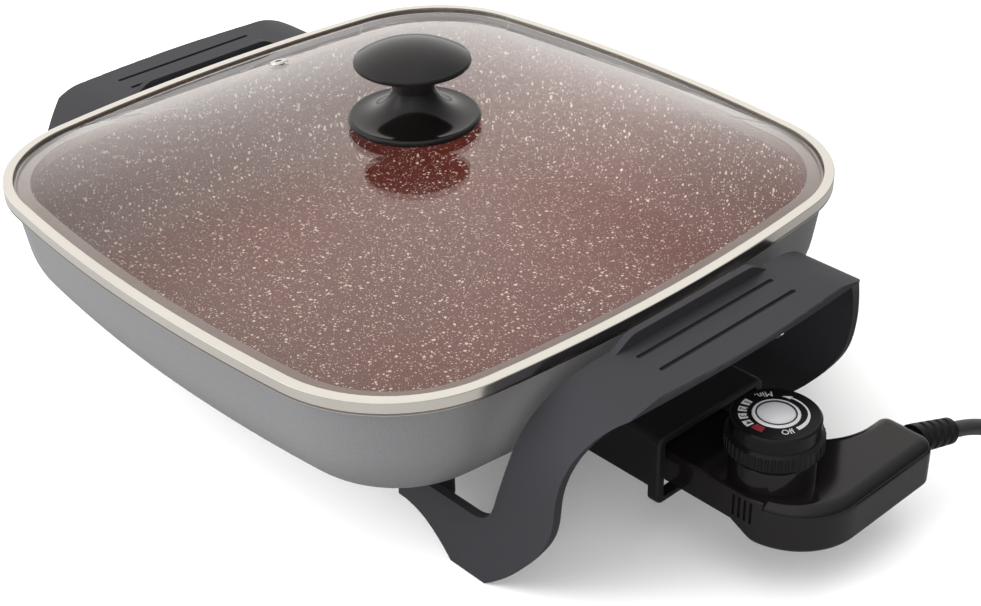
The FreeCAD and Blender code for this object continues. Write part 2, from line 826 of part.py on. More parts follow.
def unit_plan(z, shrink):
    """Plan face of the control: neck, round elbow and arm, set in by shrink."""
    near = -neck_half + shrink
    far = neck_half - shrink
    front = neck_front + shrink
    side = arm_outer - shrink
    back = arm_reach - shrink
    inside = arm_inner + shrink
    elbow = elbow_radius - shrink
    outer_round = arm_outer_round - shrink
    inner_round = arm_inner_round - shrink
    hollow = elbow_hollow + shrink
    root = math.sqrt(0.5)

    def round_arc(cx, cy, radius, a0, a1):
        ends = [math.radians(a) for a in (a0, (a0 + a1) / 2, a1)]
        return Part.Arc(*[V(cx + radius * math.cos(a), cy + radius * math.sin(a), z) for a in ends])

    def line(x0, y0, x1, y1):
        return Part.LineSegment(V(x0, y0, z), V(x1, y1, z))

    return face_of([
        line(front, near, side - elbow, near),
        round_arc(side - elbow, near + elbow, elbow, -90, 0),
        line(side, near + elbow, side, back - outer_round),
        round_arc(side - outer_round, back - outer_round, outer_round, 0, 90),
        line(side - outer_round, back, inside + inner_round, back),
        round_arc(inside + inner_round, back - inner_round, inner_round, 90, 180),
        line(inside, back - inner_round, inside, far + hollow),
        round_arc(inside - hollow, far + hollow, hollow, 0, -90),
        line(inside - hollow, far, front, far),
        line(front, far, front, near),
    ])


def under_neck(drop):
    """Space under the neck and the slope where the casing deepens into the arm."""
    low = arm_bottom - 5
    profile = polygon([
        V(neck_front - 5, -40, low), V(neck_front - 5, -40, neck_bottom + drop),
        V(step_start + drop / 2, -40, neck_bottom + drop), V(step_end + drop / 2, -40, arm_bottom + drop),
        V(step_end + drop / 2, -40, low),
    ])
    return profile.extrude(V(0, 80, 0))


def unit_lower(shrink):
    body = unit_plan(arm_bottom + shrink, shrink).extrude(V(0, 0, seam_height - arm_bottom - shrink))
    if shrink == 0:
        body = body.makeFillet(casing_edge_round, edges_at_height(body, arm_bottom))
    return body.cut(under_neck(shrink))


def unit_upper(shrink):
    """Flat-topped body whose edge is crisp on the neck and broadly rounded from the elbow on."""
    body = unit_plan(seam_height, shrink).extrude(V(0, 0, shoulder_height - seam_height - shrink))
    rim = edges_at_height(body, shoulder_height - shrink)
    broad = body.makeFillet(arm_edge_round - shrink, rim)
    if shrink == 0:
        body = body.makeFillet(neck_edge_round, rim)
    neck_side = block(neck_front - 5, arm_edge_start, -2 * neck_half, 0, seam_height, turret_top)
    body = body.common(neck_side).fuse(broad.cut(neck_side))
    turret = rod(turret_radius - shrink, V(dial_x, 0, seam_height), UP, turret_top - seam_height - shrink)
    if shrink == 0:
        turret = turret.makeChamfer(turret_step, edges_at_height(turret, turret_top))
    return body.fuse(turret).removeSplitter()


def casing_openings():
    """Holes at the seam and front: pins, sensor tube and cord boot."""
    holes = []
    for side in (1, -1):
        holes.append(rod(sleeve_radius + 0.5, V(neck_front, side * element_spread, element_height), OUT, 5))
    holes.append(rod(sensor_radius + 0.1, V(neck_front, 0, element_height), OUT, 5))
    heading = V(boot_heading).normalize()
    holes.append(rod(boot_neck_radius + 0.3, boot_base - heading * 8, heading, 10))
    return holes


def case_bosses(z0, z1):
    return [rod(case_boss_radius, V(x, y, z0), UP, z1 - z0) for x, y in case_screws]


def side_slots():
    """Shallow upright slots on the near side of the neck."""
    cuts = []
    middle = (seam_height + shoulder_height) / 2 - slot_drop
    for step in range(slot_count):
        x = slot_start + step * slot_pitch
        cuts.append(block(x, x + slot_width, -neck_half, -neck_half + slot_depth,
                          middle - slot_height / 2, middle + slot_height / 2))
    return cuts


def casing_bottom():
    shell = unit_lower(0).cut(unit_lower(casing_wall))
    for (x, y), boss in zip(case_screws, case_bosses(arm_bottom, seam_height)):
        shell = shell.fuse(boss.common(unit_lower(0)))
        shell = shell.cut(rod(case_screw_radius + 0.2, V(x, y, neck_bottom), UP, seam_height - neck_bottom))
        shell = shell.cut(rod(case_screw_head_radius + 0.3, V(x, y, arm_bottom), UP,
                              neck_bottom - arm_bottom + case_screw_head))
    for hole in casing_openings() + side_slots():
        shell = shell.cut(hole)
    return shell.removeSplitter()


def casing_top():
    shell = unit_upper(0).cut(unit_upper(casing_wall))
    for (x, y), boss in zip(case_screws, case_bosses(seam_height, shoulder_height)):
        shell = shell.fuse(boss.common(unit_upper(0)))
        bore = neck_bottom + case_screw_head + case_screw_length + 0.5 - seam_height
        shell = shell.cut(rod(case_screw_radius + 0.05, V(x, y, seam_height), UP, bore))
    for hole in casing_openings() + side_slots():
        shell = shell.cut(hole)
    shell = shell.cut(rod(bush_radius + 0.1, V(dial_x, 0, turret_top - 5), UP, 10))
    return shell.removeSplitter()


def casing_screws():
    screws = []
    floor = neck_bottom
    for x, y in case_screws:
        head = rod(case_screw_head_radius, V(x, y, floor + 0.1), UP, case_screw_head - 0.1)
        cross = block(x - 1.8, x + 1.8, y - 0.4, y + 0.4, floor, floor + 1)
        cross = cross.fuse(block(x - 0.4, x + 0.4, y - 1.8, y + 1.8, floor, floor + 1))
        shank = rod(case_screw_radius, V(x, y, floor + case_screw_head), UP, case_screw_length)
        screws.append(head.cut(cross).fuse(shank))
    return Part.makeCompound(screws)


# Probe and thermostat

def sensor_tube():
    length = frame_front - sensor_tip
    start = V(sensor_tip, 0, element_height)
    tube = rod(sensor_radius, start, OUT, length)
    tip = [e for e in tube.Edges if e.BoundBox.XMax < sensor_tip + 0.1]
    tube = tube.makeFillet(2.8, tip)
    return tube.cut(rod(sensor_radius - 0.7, start + OUT * 1.0, OUT, length))


def expansion_rod():
    start = V(sensor_tip + 1.2, 0, element_height)
    return rod(rod_radius, start, OUT, frame_front + frame_thickness + 3 - start.x)


def contact_sleeves():
    sleeves = []
    for side in (1, -1):
        start = V(neck_front + sleeve_inset, side * element_spread, element_height)
        tube = rod(sleeve_radius, start, OUT, sleeve_length)
        tube = tube.cut(rod(sleeve_bore, start, OUT, sleeve_length - 2))
        slit = block(start.x, start.x + 9, start.y - 0.4, start.y + 0.4, start.z, start.z + 5)
        sleeves.append(tube.cut(slit))
    return Part.makeCompound(sleeves)


def terminal_block():
    low = neck_bottom + casing_wall + 0.1
    body = block(block_front, block_front + block_depth, -block_half, block_half, low, element_height + 5)
    for side in (1, -1):
        body = body.cut(rod(sleeve_radius + 0.05, V(block_front, side * element_spread, element_height), OUT,
                            block_depth))
    return body.cut(rod(sensor_radius + 0.05, V(block_front, 0, element_height), OUT, block_depth))


def thermostat_frame():
    """Folded plate: an upright that holds the sensor tube and a level plate under the dial."""
    top = frame_plate_bottom + frame_thickness
    upright = block(frame_front, frame_front + frame_thickness, -frame_half, frame_half,
                    neck_bottom + casing_wall + 0.1, top)
    level = block(frame_front, frame_back, -frame_half, frame_half, frame_plate_bottom, top)
    tab = block(lamp_x - lamp_tab_half, lamp_x + lamp_tab_half, lamp_y - lamp_radius, -frame_half,
                frame_plate_bottom, top)
    frame = upright.fuse(level).fuse(tab)
    frame = frame.cut(rod(rod_radius + 0.3, V(frame_front, 0, element_height), OUT, frame_thickness))
    frame = frame.cut(rod(plunger_radius + running_fit, V(dial_x, 0, frame_plate_bottom), UP, 3))
    return frame.removeSplitter()


def blade(z):
    strip = block(blade_start, blade_end, -blade_half, blade_half, z, z + blade_thickness)
    return strip.cut(rod(1.4, V(stack_x, 0, z), UP, blade_thickness))


def blade_stack():
    """Ceramic spacers between the frame and the blades, with their rivet."""
    low = fixed_blade_z + blade_thickness
    middle = rod(stack_radius, V(stack_x, 0, low), UP, moving_blade_z - low)
    upper_low = moving_blade_z + blade_thickness
    upper = rod(stack_radius, V(stack_x, 0, upper_low), UP, frame_plate_bottom - upper_low)
    pin = rod(1.3, V(stack_x, 0, fixed_blade_z), UP, frame_plate_bottom - fixed_blade_z)
    return middle.fuse(upper).fuse(pin)


def contact_rivets():
    low = V(contact_x, 0, fixed_blade_z + blade_thickness)
    high = V(contact_x, 0, moving_blade_z - contact_height)
    return Part.makeCompound([rod(contact_radius, low, UP, contact_height),
                              rod(contact_radius, high, UP, contact_height)])


def plunger():
    top = spindle_bottom - 0.2
    return rod(plunger_radius, V(dial_x, 0, plunger_bottom), UP, top - plunger_bottom)


def spindle_bush():
    low = frame_plate_bottom + frame_thickness
    high = turret_top + 0.8
    body = rod(bush_radius, V(dial_x, 0, low), UP, high - low)
    return body.cut(rod(spindle_radius + running_fit, V(dial_x, 0, low), UP, high - low))


def pilot_lamp():
    low = frame_plate_bottom + frame_thickness
    body = rod(lamp_radius, V(lamp_x, lamp_y, low), UP, lamp_height)
    return body.makeFillet(lamp_radius - 0.3, edges_at_height(body, low + lamp_height))


def lamp_resistor():
    """Small ceramic body on the plate, with its wire to the lamp."""
    start = V(resistor_x, resistor_y, frame_plate_bottom + frame_thickness + resistor_radius)
    body = rod(resistor_radius, start, BACK, resistor_length)
    root = start + BACK * 1.5
    way = V(lamp_x, lamp_y, root.z) - root
    wire = rod(resistor_wire_radius, root, way, way.Length - lamp_radius)
    return body.fuse(wire)


def smooth_path(points):
    """Straight runs joined by arcs as large as each corner's shorter run allows."""
    edges = []
    radii = []
    last = points[0]
    for before, corner, after in zip(points, points[1:], points[2:]):
        run = min((corner - before).Length, (after - corner).Length)
        trim = 0.45 * run
        start = corner + (before - corner).normalize() * trim
        end = corner + (after - corner).normalize() * trim
        half_turn = (corner - before).getAngle(after - corner) / 2
        radii.append(trim / math.tan(half_turn))
        edges.append(Part.LineSegment(last, start))
        edges.append(arc_through(start, corner, end))
        last = end
    edges.append(Part.LineSegment(last, points[-1]))
    return edges, radii


def lead_wires():
    """Two leads from the neutral sleeve and the fixed blade to the cord's boot."""
    sleeve_end = neck_front + sleeve_inset + sleeve_length
    join = boot_base - V(boot_heading).normalize() * (boot_inner_length + 0.6)
    aside = V(1.4, 0, 0)
    neutral = [V(sleeve_end + 0.3, element_spread, element_height - 1), V(dial_x - 8, 13, 36), V(dial_x + 8, 19, 36),
               V(boot_x - 3.4, 31, 36.5), V(boot_x - 1.4, 44.5, 38), join - aside]
    live = [V(blade_end + 0.7, 0, fixed_blade_z + 0.2), V(boot_x - 2.4, 4, 33.4), V(boot_x, 17, 34), V(boot_x + 1, 31, 35.5),
            V(boot_x + 1.6, 45, 37.5), join + aside]
    return Part.makeCompound([tube_along(smooth_path(route)[0], wire_radius) for route in (neutral, live)])


# Dial

def dial_knob():
    """Cup with a knurled skirt, a hub for the spindle and a well for the lens."""
    x = V(dial_x, 0, 0)
    top = dial_top
    body = turned([
        (bezel_radius + 0.1, top), (dial_radius - 0.8, top), (dial_radius, top - 0.8),
        (dial_radius, dial_skirt_top), (dial_skirt_radius, dial_skirt_top - 1.0),
        (dial_skirt_radius, dial_bottom + 0.6), (dial_skirt_radius - 0.6, dial_bottom),
        (dial_skirt_radius - dial_wall, dial_bottom), (dial_radius - dial_wall, dial_skirt_top),
        (dial_radius - dial_wall, top - 3.2), (hub_radius, top - 3.2), (hub_radius, dial_bottom + 1.0),
        (spindle_radius + 0.03, dial_bottom + 1.0), (spindle_radius + 0.03, spindle_top),
        (0, spindle_top), (0, top - 2.6), (bezel_radius + 0.1, top - 2.6),
    ], x)
    groove = turned([
        (disc_outer + 0.1, top), (disc_outer + 0.1, top - disc_thickness),
        (bezel_radius, top - disc_thickness), (bezel_radius, top),
    ], x)
    body = body.cut(groove)
    flute = rod(knurl_radius, V(dial_x + dial_skirt_radius + 0.25, 0, dial_bottom), UP,
                dial_skirt_top - dial_bottom)
    flutes = []
    for step in range(knurl_count):
        copy = flute.copy()
        copy.rotate(x, UP, 360.0 * step / knurl_count)
        flutes.append(copy)
    return body.cut(Part.makeCompound(flutes))


def dial_disc():
    low = dial_top - disc_thickness
    ring = turned([(bezel_radius + 0.15, low), (disc_outer, low), (disc_outer, dial_top),
                   (bezel_radius + 0.15, dial_top)], V(dial_x, 0, 0))
    return ring


def dial_bezel():
    return turned([
        (lens_radius + 0.1, dial_top - 2.6), (bezel_radius, dial_top - 2.6), (bezel_radius, dial_top + 0.2),
        (bezel_radius - 0.4, dial_top + 0.5), (lens_radius + 0.1, dial_top + 0.5),
    ], V(dial_x, 0, 0))


def dial_lens():
    rim_z = dial_top + 0.2
    crown = dial_top + 0.2 + lens_rise
    profile = [
        Part.LineSegment(V(0, 0, dial_top - 2.6), V(lens_radius, 0, dial_top - 2.6)),
        Part.LineSegment(V(lens_radius, 0, dial_top - 2.6), V(lens_radius, 0, rim_z)),
        cap_arc(lens_radius, rim_z, crown),
        Part.LineSegment(V(0, 0, crown), V(0, 0, dial_top - 2.6)),
    ]
    lens = face_of(profile).revolve(V(0, 0, 0), UP, 360)
    lens.translate(V(dial_x, 0, 0))
    return lens


def dial_spindle():
    body = rod(spindle_radius, V(dial_x, 0, spindle_bottom), UP, spindle_top - spindle_bottom)
    return body.makeChamfer(0.4, edges_at_height(body, spindle_bottom))


# Cord

def cord_boot():
    """Tapered strain relief with ribs, its neck held in the casing's wall."""
    pitch = boot_length / boot_ribs
    points = [(0, -boot_inner_length), (boot_flange_radius, -boot_inner_length), (boot_flange_radius, -1.2),
              (boot_base_radius, -1.2)]
    for step in range(boot_ribs):
        start = step * pitch
        radius = boot_base_radius + (boot_end_radius - boot_base_radius) * step / (boot_ribs - 1)
        points += [(radius, start + 0.2), (radius, start + 0.6 * pitch)]
        if step < boot_ribs - 1:
            points += [(radius - boot_groove, start + 0.7 * pitch), (radius - boot_groove, start + 0.9 * pitch)]
    points += [(cord_radius + 1.0, boot_length), (0, boot_length)]
    boot = turned(points)
    boot.Placement = FreeCAD.Placement(boot_base, FreeCAD.Rotation(UP, boot_heading))
    heading = V(boot_heading).normalize()
    room = casing_wall + boot_fit
    wall = block(arm_inner - 5, arm_outer + 5, arm_reach - room, arm_reach + boot_fit, arm_bottom, turret_top)
    ceiling = block(arm_inner - 5, arm_outer + 5, arm_reach - 20, arm_reach + boot_fit,
                    shoulder_height - arm_edge_round + boot_headroom, turret_top)
    neck = rod(boot_neck_radius, boot_base - heading * (room + 1.5), heading, room + 3.0)
    return boot.cut(wall).cut(ceiling).fuse(neck)


def coil_centre():
    return V(cord_route[-1].x + coil_radius(0), cord_route[-1].y + 2 * cord_radius, cord_height)


def coil_radius(turn):
    return coil_inner + coil_pitch * abs(turn - coil_turns / 2)


def coil_point(turn):
    """Point and heading on the coil: it spirals in, climbs a layer and spirals out."""
    centre = coil_centre()
    angle = math.pi - 2 * math.pi * turn
    radius = coil_radius(turn)
    middle = coil_turns / 2
    climb = min(1.0, max(0.0, (turn - middle + 0.25) / 0.5))
    rise = coil_climb * (1 - math.cos(math.pi * climb)) / 2
    slope = coil_climb * math.pi / 2 * math.sin(math.pi * climb) / 0.5
    outward = V(math.cos(angle), math.sin(angle), 0)
    around = V(math.sin(angle), -math.cos(angle), 0)
    growth = 0.0
    if turn not in (0, middle, coil_turns):
        growth = coil_pitch if turn > middle else -coil_pitch
    heading = around * (2 * math.pi * radius) + outward * growth + UP * slope
    return centre + outward * radius + UP * rise, heading.normalize()


def biarc(start, start_heading, end, end_heading):
    """Two arcs that meet smoothly and leave and arrive along the given headings."""
    span = end - start
    both = start_heading + end_heading
    bend = 2 * (start_heading.dot(end_heading) - 1)
    along = 2 * span.dot(both)
    if abs(bend) < 1e-9:
        leg = span.dot(span) / along
    else:
        leg = (along - math.sqrt(along ** 2 - 4 * bend * span.dot(span))) / (2 * bend)
    first = start + start_heading * leg
    second = end - end_heading * leg
    middle = (first + second) * 0.5
    return [arc_through(start, first, middle), arc_through(middle, second, end)]


def coil_path():
    centre = coil_centre()
    straight = 2 * cord_radius
    start = cord_route[-1]
    edges = [Part.LineSegment(start, start + BACK * straight)]
    stations = [coil_point(step / 2) for step in range(int(coil_turns * 2) + 1)]
    for (here, heading), (there, arrival) in zip(stations, stations[1:]):
        edges += biarc(here, heading, there, arrival)
    last, heading = stations[-1]
    foot = V(last.x, last.y - coil_descent, plug_axis_height)
    edges += biarc(last, heading, foot, heading)
    edges.append(Part.LineSegment(foot, foot + heading * straight))
    return edges


def least_gap(edges, diameter):
    """Smallest distance between stretches of the tube that aren't neighbours along it."""
    points = []
    for edge in edges:
        steps = max(2, int(edge.length() / 2.5))
        points += [edge.value(edge.parameterAtDistance(edge.length() * k / steps, edge.FirstParameter))
                   for k in range(steps)]
    apart = int(6 * diameter / 2.5)
    least = 1e9
    for i, here in enumerate(points):
        for there in points[i + apart:]:
            least = min(least, here.distanceToPoint(there))
    return least - diameter


def free_run():
    heading = V(boot_heading).normalize()
    boot_end = boot_base + heading * boot_length
    return smooth_path([boot_end, boot_end + heading * cord_lead] + list(cord_route))


def cord():
    return tube_along(free_run()[0], cord_radius)


def cord_coil():
    return tube_along(coil_path(), cord_radius)


def plug_place():
    return coil_path()[-1].EndPoint


def plug_body():
    """Flat six-sided grip with a tapered boot, lying beside the coil."""
    place = plug_place()
    half = plug_half_width
    thick = plug_axis_height

    def section(y, width, height):
        cut = height * 0.55
        return Part.makePolygon([
            V(place.x - width, y, place.z), V(place.x - width + cut, y, place.z - height),
            V(place.x + width - cut, y, place.z - height), V(place.x + width, y, place.z),
            V(place.x + width - cut, y, place.z + height), V(place.x - width + cut, y, place.z + height),
            V(place.x - width, y, place.z),
        ])

    front = place.y - plug_boot_length - plug_length
    grip = Part.makeLoft([section(place.y - plug_boot_length, half * 0.62, thick * 0.8),
                          section(place.y - plug_boot_length - 10, half * 0.86, thick * 0.94),
                          section(front + 6, half, thick), section(front, half, thick)], True, True)
    boot = Part.makeCone(cord_radius + 0.8, 5.6, plug_boot_length + 2, place, V(0, -1, 0))
    return grip.fuse(boot).removeSplitter()


def plug_pins():
    place = plug_place()
    front = place.y - plug_boot_length - plug_length
    pins = []
    for across, lift in ((-plug_pin_spacing, 0), (0, plug_earth_offset), (plug_pin_spacing, 0)):
        pin = rod(plug_pin_radius, V(place.x + across, front, place.z + lift), V(0, -1, 0), plug_pin_length)
        tip = [e for e in pin.Edges if e.BoundBox.YMax < front - plug_pin_length + 0.1]
        pins.append(pin.makeChamfer(1.0, tip))
    return Part.makeCompound(pins)


PIECES = {
    "pan_body": pan_body,
    "heating_element": heating_element,
    "terminal_pins": terminal_pins,
    "terminal_collars": terminal_collars,
    "right_handle": right_handle,
    "left_handle": left_handle,
    "handle_screws": handle_screws,
    "handle_washers": handle_washers,
    "probe_guard": probe_guard,
    "guard_screws": guard_screws,
    "lid_glass": lid_glass,
    "lid_rim": lid_rim,
    "vent_eyelet": vent_eyelet,
    "knob_gasket": knob_gasket,
    "knob_base": knob_base,
    "knob_cap": knob_cap,
    "knob_insert": knob_insert,
    "knob_washer": knob_washer,
    "knob_screw": knob_screw,
    "casing_top": casing_top,
    "casing_bottom": casing_bottom,
    "casing_screws": casing_screws,
    "sensor_tube": sensor_tube,
    "expansion_rod": expansion_rod,
    "contact_sleeves": contact_sleeves,
    "terminal_block": terminal_block,
    "thermostat_frame": thermostat_frame,
    "blade_stack": blade_stack,
    "fixed_blade": lambda: blade(fixed_blade_z),
    "moving_blade": lambda: blade(moving_blade_z),
    "contact_rivets": contact_rivets,
    "spindle_bush": spindle_bush,
    "pilot_lamp": pilot_lamp,
    "lamp_resistor": lamp_resistor,
    "lead_wires": lead_wires,
    "dial_knob": dial_knob,
    "dial_disc": dial_disc,
    "dial_bezel": dial_bezel,
    "dial_lens": dial_lens,
    "dial_spindle": dial_spindle,
    "plunger": plunger,
    "cord_boot": cord_boot,
    "cord": cord,
    "cord_coil": cord_coil,
    "plug_body": plug_body,
    "plug_pins": plug_pins,
}

os.makedirs("parts", exist_ok=True)
for name, make in PIECES.items():
    shape = make()
    shape.translate(origin_shift)
    shape.exportStep("parts/" + name + ".step")
    bounds = shape.BoundBox
    print(name, len(shape.Solids), shape.isValid(), round(shape.Volume / 1000, 2),
          [round(v, 1) for v in (bounds.XMin, bounds.YMin, bounds.ZMin, bounds.XMax, bounds.YMax, bounds.ZMax)])

run_edges, run_radii = free_run()
run_length = sum(edge.length() for edge in run_edges)
print("cord radii", [round(radius, 1) for radius in run_radii])
print("cord run", round(run_length, 1), "volume ratio",
      round(cord().Volume / (math.pi * cord_radius ** 2 * run_length), 4))
turns = coil_path()
turns_length = sum(edge.length() for edge in turns)
print("coil length", round(turns_length, 1), "least gap", round(least_gap(turns, 2 * cord_radius), 2), "volume ratio",
      round(cord_coil().Volume / (math.pi * cord_radius ** 2 * turns_length), 4))
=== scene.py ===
import math

import bpy
from mathutils import Matrix, Vector


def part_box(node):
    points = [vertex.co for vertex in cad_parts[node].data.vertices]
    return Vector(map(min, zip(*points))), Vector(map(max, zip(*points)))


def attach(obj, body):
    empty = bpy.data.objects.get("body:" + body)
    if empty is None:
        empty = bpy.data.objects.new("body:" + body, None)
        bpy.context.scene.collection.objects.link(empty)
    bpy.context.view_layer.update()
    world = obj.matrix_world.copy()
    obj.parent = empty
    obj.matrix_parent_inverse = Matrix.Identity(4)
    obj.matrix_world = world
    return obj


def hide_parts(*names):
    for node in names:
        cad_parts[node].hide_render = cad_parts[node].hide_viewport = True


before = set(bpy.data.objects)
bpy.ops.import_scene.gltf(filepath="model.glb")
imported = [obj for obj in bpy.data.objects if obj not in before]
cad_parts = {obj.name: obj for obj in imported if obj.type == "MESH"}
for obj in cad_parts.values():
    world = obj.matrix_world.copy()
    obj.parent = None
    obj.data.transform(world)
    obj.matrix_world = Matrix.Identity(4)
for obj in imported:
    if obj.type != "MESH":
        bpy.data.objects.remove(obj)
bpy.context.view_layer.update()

bl_info = {
    "name": "Electric Skillet",
    "version": (1, 0, 0),
    "blender": (4, 5, 0),
    "location": "View3D > Sidebar > Skillet",
    "description": "Finishes, cord, dial print and studio for an electric skillet "
                   "with a domed glass lid",
    "category": "Object",
}

# Places on the frame, in metres: the pan's middle and the dial's axis and face
PAN_MIDDLE = (sum(corner[0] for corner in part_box("pan_body")) / 2, 0.0)
DIAL_LOW, DIAL_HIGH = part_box("dial_disc")
DIAL_MIDDLE = ((DIAL_LOW[0] + DIAL_HIGH[0]) / 2, (DIAL_LOW[1] + DIAL_HIGH[1]) / 2)
DIAL_FACE = DIAL_HIGH[2]


class SkilletSizes(bpy.types.PropertyGroup):
    """Sizes that a user of the model would change."""

    cord_diameter: bpy.props.FloatProperty(
        name="Cord diameter", description="Outside of the mains lead",
        default=0.007, unit="LENGTH")
    cord_length: bpy.props.FloatProperty(
        name="Cord length", description="Lead from the boot to the plug",
        default=1.46, unit="LENGTH")
    turn_points: bpy.props.IntProperty(
        name="Points per turn", description="Control points on one turn of the coil",
        default=16)
    print_rise: bpy.props.FloatProperty(
        name="Print height", description="How far the dial's print stands up",
        default=0.00006, unit="LENGTH")
    speck_size: bpy.props.FloatProperty(
        name="Speck spacing", description="Spacing of the coating's larger specks",
        default=0.0017, unit="LENGTH")


class SkilletColours(bpy.types.PropertyGroup):
    """Colours that a user of the model would change."""

    coating: bpy.props.FloatVectorProperty(
        name="Coating", description="Red-brown non-stick coating",
        subtype="COLOR", size=3, default=(0.088, 0.0115, 0.0075))
    speck: bpy.props.FloatVectorProperty(
        name="Specks", description="Cream specks in the coating",
        subtype="COLOR", size=3, default=(0.72, 0.59, 0.50))
    shell: bpy.props.FloatVectorProperty(
        name="Shell", description="Grey metallic paint outside the pan",
        subtype="COLOR", size=3, default=(0.19, 0.19, 0.195))
    handle: bpy.props.FloatVectorProperty(
        name="Handles", description="Matt charcoal plastic",
        subtype="COLOR", size=3, default=(0.025, 0.024, 0.0275))
    casing: bpy.props.FloatVectorProperty(
        name="Casing", description="Glossy brown-black plastic",
        subtype="COLOR", size=3, default=(0.006, 0.005, 0.005))
    rim: bpy.props.FloatVectorProperty(
        name="Lid rim", description="Warm rolled steel",
        subtype="COLOR", size=3, default=(0.72, 0.69, 0.63))
    print_white: bpy.props.FloatVectorProperty(
        name="Dial print", description="White ink on the dial",
        subtype="COLOR", size=3, default=(0.42, 0.42, 0.42))
    print_red: bpy.props.FloatVectorProperty(
        name="Dial red", description="Red window on the dial",
        subtype="COLOR", size=3, default=(0.16, 0.015, 0.022))
    floor: bpy.props.FloatVectorProperty(
        name="Floor", description="Plain pale floor",
        subtype="COLOR", size=3, default=(1.0, 1.0, 1.0))


# Materials

DRIFT_SCALE = 35.0          # of the slow change of colour on every plain finish
GRAIN_DEPTH = 0.00012       # metres


class Signal:
    """A material socket that adds, multiplies and compares like a number."""

    def __init__(self, finish, socket):
        self.finish = finish
        self.socket = socket

    def math(self, operation, first, second):
        return self.finish.node("ShaderNodeMath", {"operation": operation}, {0: first, 1: second})

    def __add__(self, other):
        return self.math("ADD", self, other)

    def __radd__(self, other):
        return self.math("ADD", other, self)

    def __sub__(self, other):
        return self.math("SUBTRACT", self, other)

    def __rsub__(self, other):
        return self.math("SUBTRACT", other, self)

    def __mul__(self, other):
        return self.math("MULTIPLY", self, other)

    def __rmul__(self, other):
        return self.math("MULTIPLY", other, self)

    def __pow__(self, other):
        return self.math("POWER", self, other)

    def __lt__(self, other):
        return self.math("LESS_THAN", self, other)

    def __gt__(self, other):
        return self.math("GREATER_THAN", self, other)


class Nodes:
    """A node tree that is being filled."""

    def __init__(self, tree):
        self.tree = tree

    def feed(self, socket, value):
        if isinstance(value, Signal):
            self.tree.links.new(value.socket, socket)
        elif socket.type == "RGBA" and len(value) == 3:
            socket.default_value = (*value, 1.0)
        else:
            socket.default_value = value

    def node(self, kind, settings=None, inputs=None, output=0):
        """Add a node, set its settings and then its sockets, and return one of its outputs."""
        node = self.tree.nodes.new(kind)
        for name, value in (settings or {}).items():
            if name == "stops":
                ramp = node.color_ramp
                for place, _ in value[1:-1]:
                    ramp.elements.new(place)
                for element, (place, colour) in zip(ramp.elements, value):
                    element.position = place
                    element.color = (*colour, 1.0) if len(colour) == 3 else colour
            else:
                setattr(node, name, value)
        for name, value in (inputs or {}).items():
            self.feed(node.inputs[name], value)
        return Signal(self, node.outputs[output])

    def ramp(self, value, *stops):
        return self.node("ShaderNodeValToRGB", {"stops": stops}, {"Fac": value})

    def blend(self, share, low, high):
        """Colour between low and high."""
        return self.node("ShaderNodeMix", {"data_type": "RGBA"},
                         {0: share, 6: low, 7: high}, output=2)


class Finish(Nodes):
    """A material being made: a Principled shader and the nodes that feed it."""

    def __init__(self, name, **constants):
        self.material = bpy.data.materials.new(name)
        self.material.use_nodes = True
        super().__init__(self.material.node_tree)
        self.shader = self.tree.nodes["Principled BSDF"]
        self.output = self.tree.nodes["Material Output"]
        self.surface(**constants)

    def surface(self, **values):
        """Set or link the shader's own sockets, named with underscores for spaces."""
        for name, value in values.items():
            self.feed(self.shader.inputs[name.replace("_", " ")], value)

    def place(self, scale=(1, 1, 1), shift=(0, 0, 0)):
        """Object coordinates, stretched and shifted."""
        where = self.node("ShaderNodeTexCoord", output="Object")
        return self.node("ShaderNodeMapping", None,
                         {"Vector": where, "Location": shift, "Scale": scale})

    def noise(self, where, scale, detail=3.0, roughness=0.5):
        return self.node("ShaderNodeTexNoise", None, {
            "Vector": where, "Scale": scale, "Detail": detail, "Roughness": roughness})

    def relief(self, height, strength, distance):
        """Bump on the whole surface."""
        self.surface(Normal=self.node("ShaderNodeBump", None, {
            "Height": height, "Strength": strength, "Distance": distance}))

    def specks(self, where, spacing, reach, rarity):
        """1 inside scattered round specks, whose sizes differ from cell to cell, and 0 outside.

        reach is the largest speck's radius as a share of the spacing, and a higher rarity
        leaves fewer of the cells with a speck that can be seen.
        """
        cells = self.node("ShaderNodeTexVoronoi", None, {
            "Vector": where, "Scale": 1.0 / spacing, "Randomness": 1.0})
        tint = Signal(self, cells.socket.node.outputs["Color"])
        draw = self.node("ShaderNodeSeparateColor", None, {0: tint})
        return cells < draw ** rarity * reach


def shade(colour, share):
    """A colour made darker or lighter."""
    return tuple(min(1.0, channel * share) for channel in colour)


def plain(name, colour, roughness, metallic=0.0, grain=900.0, strength=0.1, spread=0.12, **more):
    """A moulded or rolled finish: colour and gloss that drift a little over a fine grain.

    grain is the grain's noise scale, strength its bump, and spread how far the colour drifts.
    Both noises average about a half, so the colour and the roughness given are the means.
    """
    finish = Finish(name, Metallic=metallic, **more)
    where = finish.place()
    drift = finish.noise(where, scale=DRIFT_SCALE)
    fine = finish.noise(where, scale=grain, detail=4.0, roughness=0.6)
    dark, light = shade(colour, 1 - spread), shade(colour, 1 + spread)
    finish.surface(Base_Color=finish.blend(drift * 0.6 + fine * 0.4, dark, light),
                   Roughness=roughness * 0.85 + fine * (roughness * 0.3))
    finish.relief(fine, strength, distance=GRAIN_DEPTH)
    return finish


def dress(finish, *nodes):
    """Give the frame's nodes one finish."""
    for name in nodes:
        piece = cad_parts[name]
        piece.data.materials.clear()
        piece.data.materials.append(finish.material)


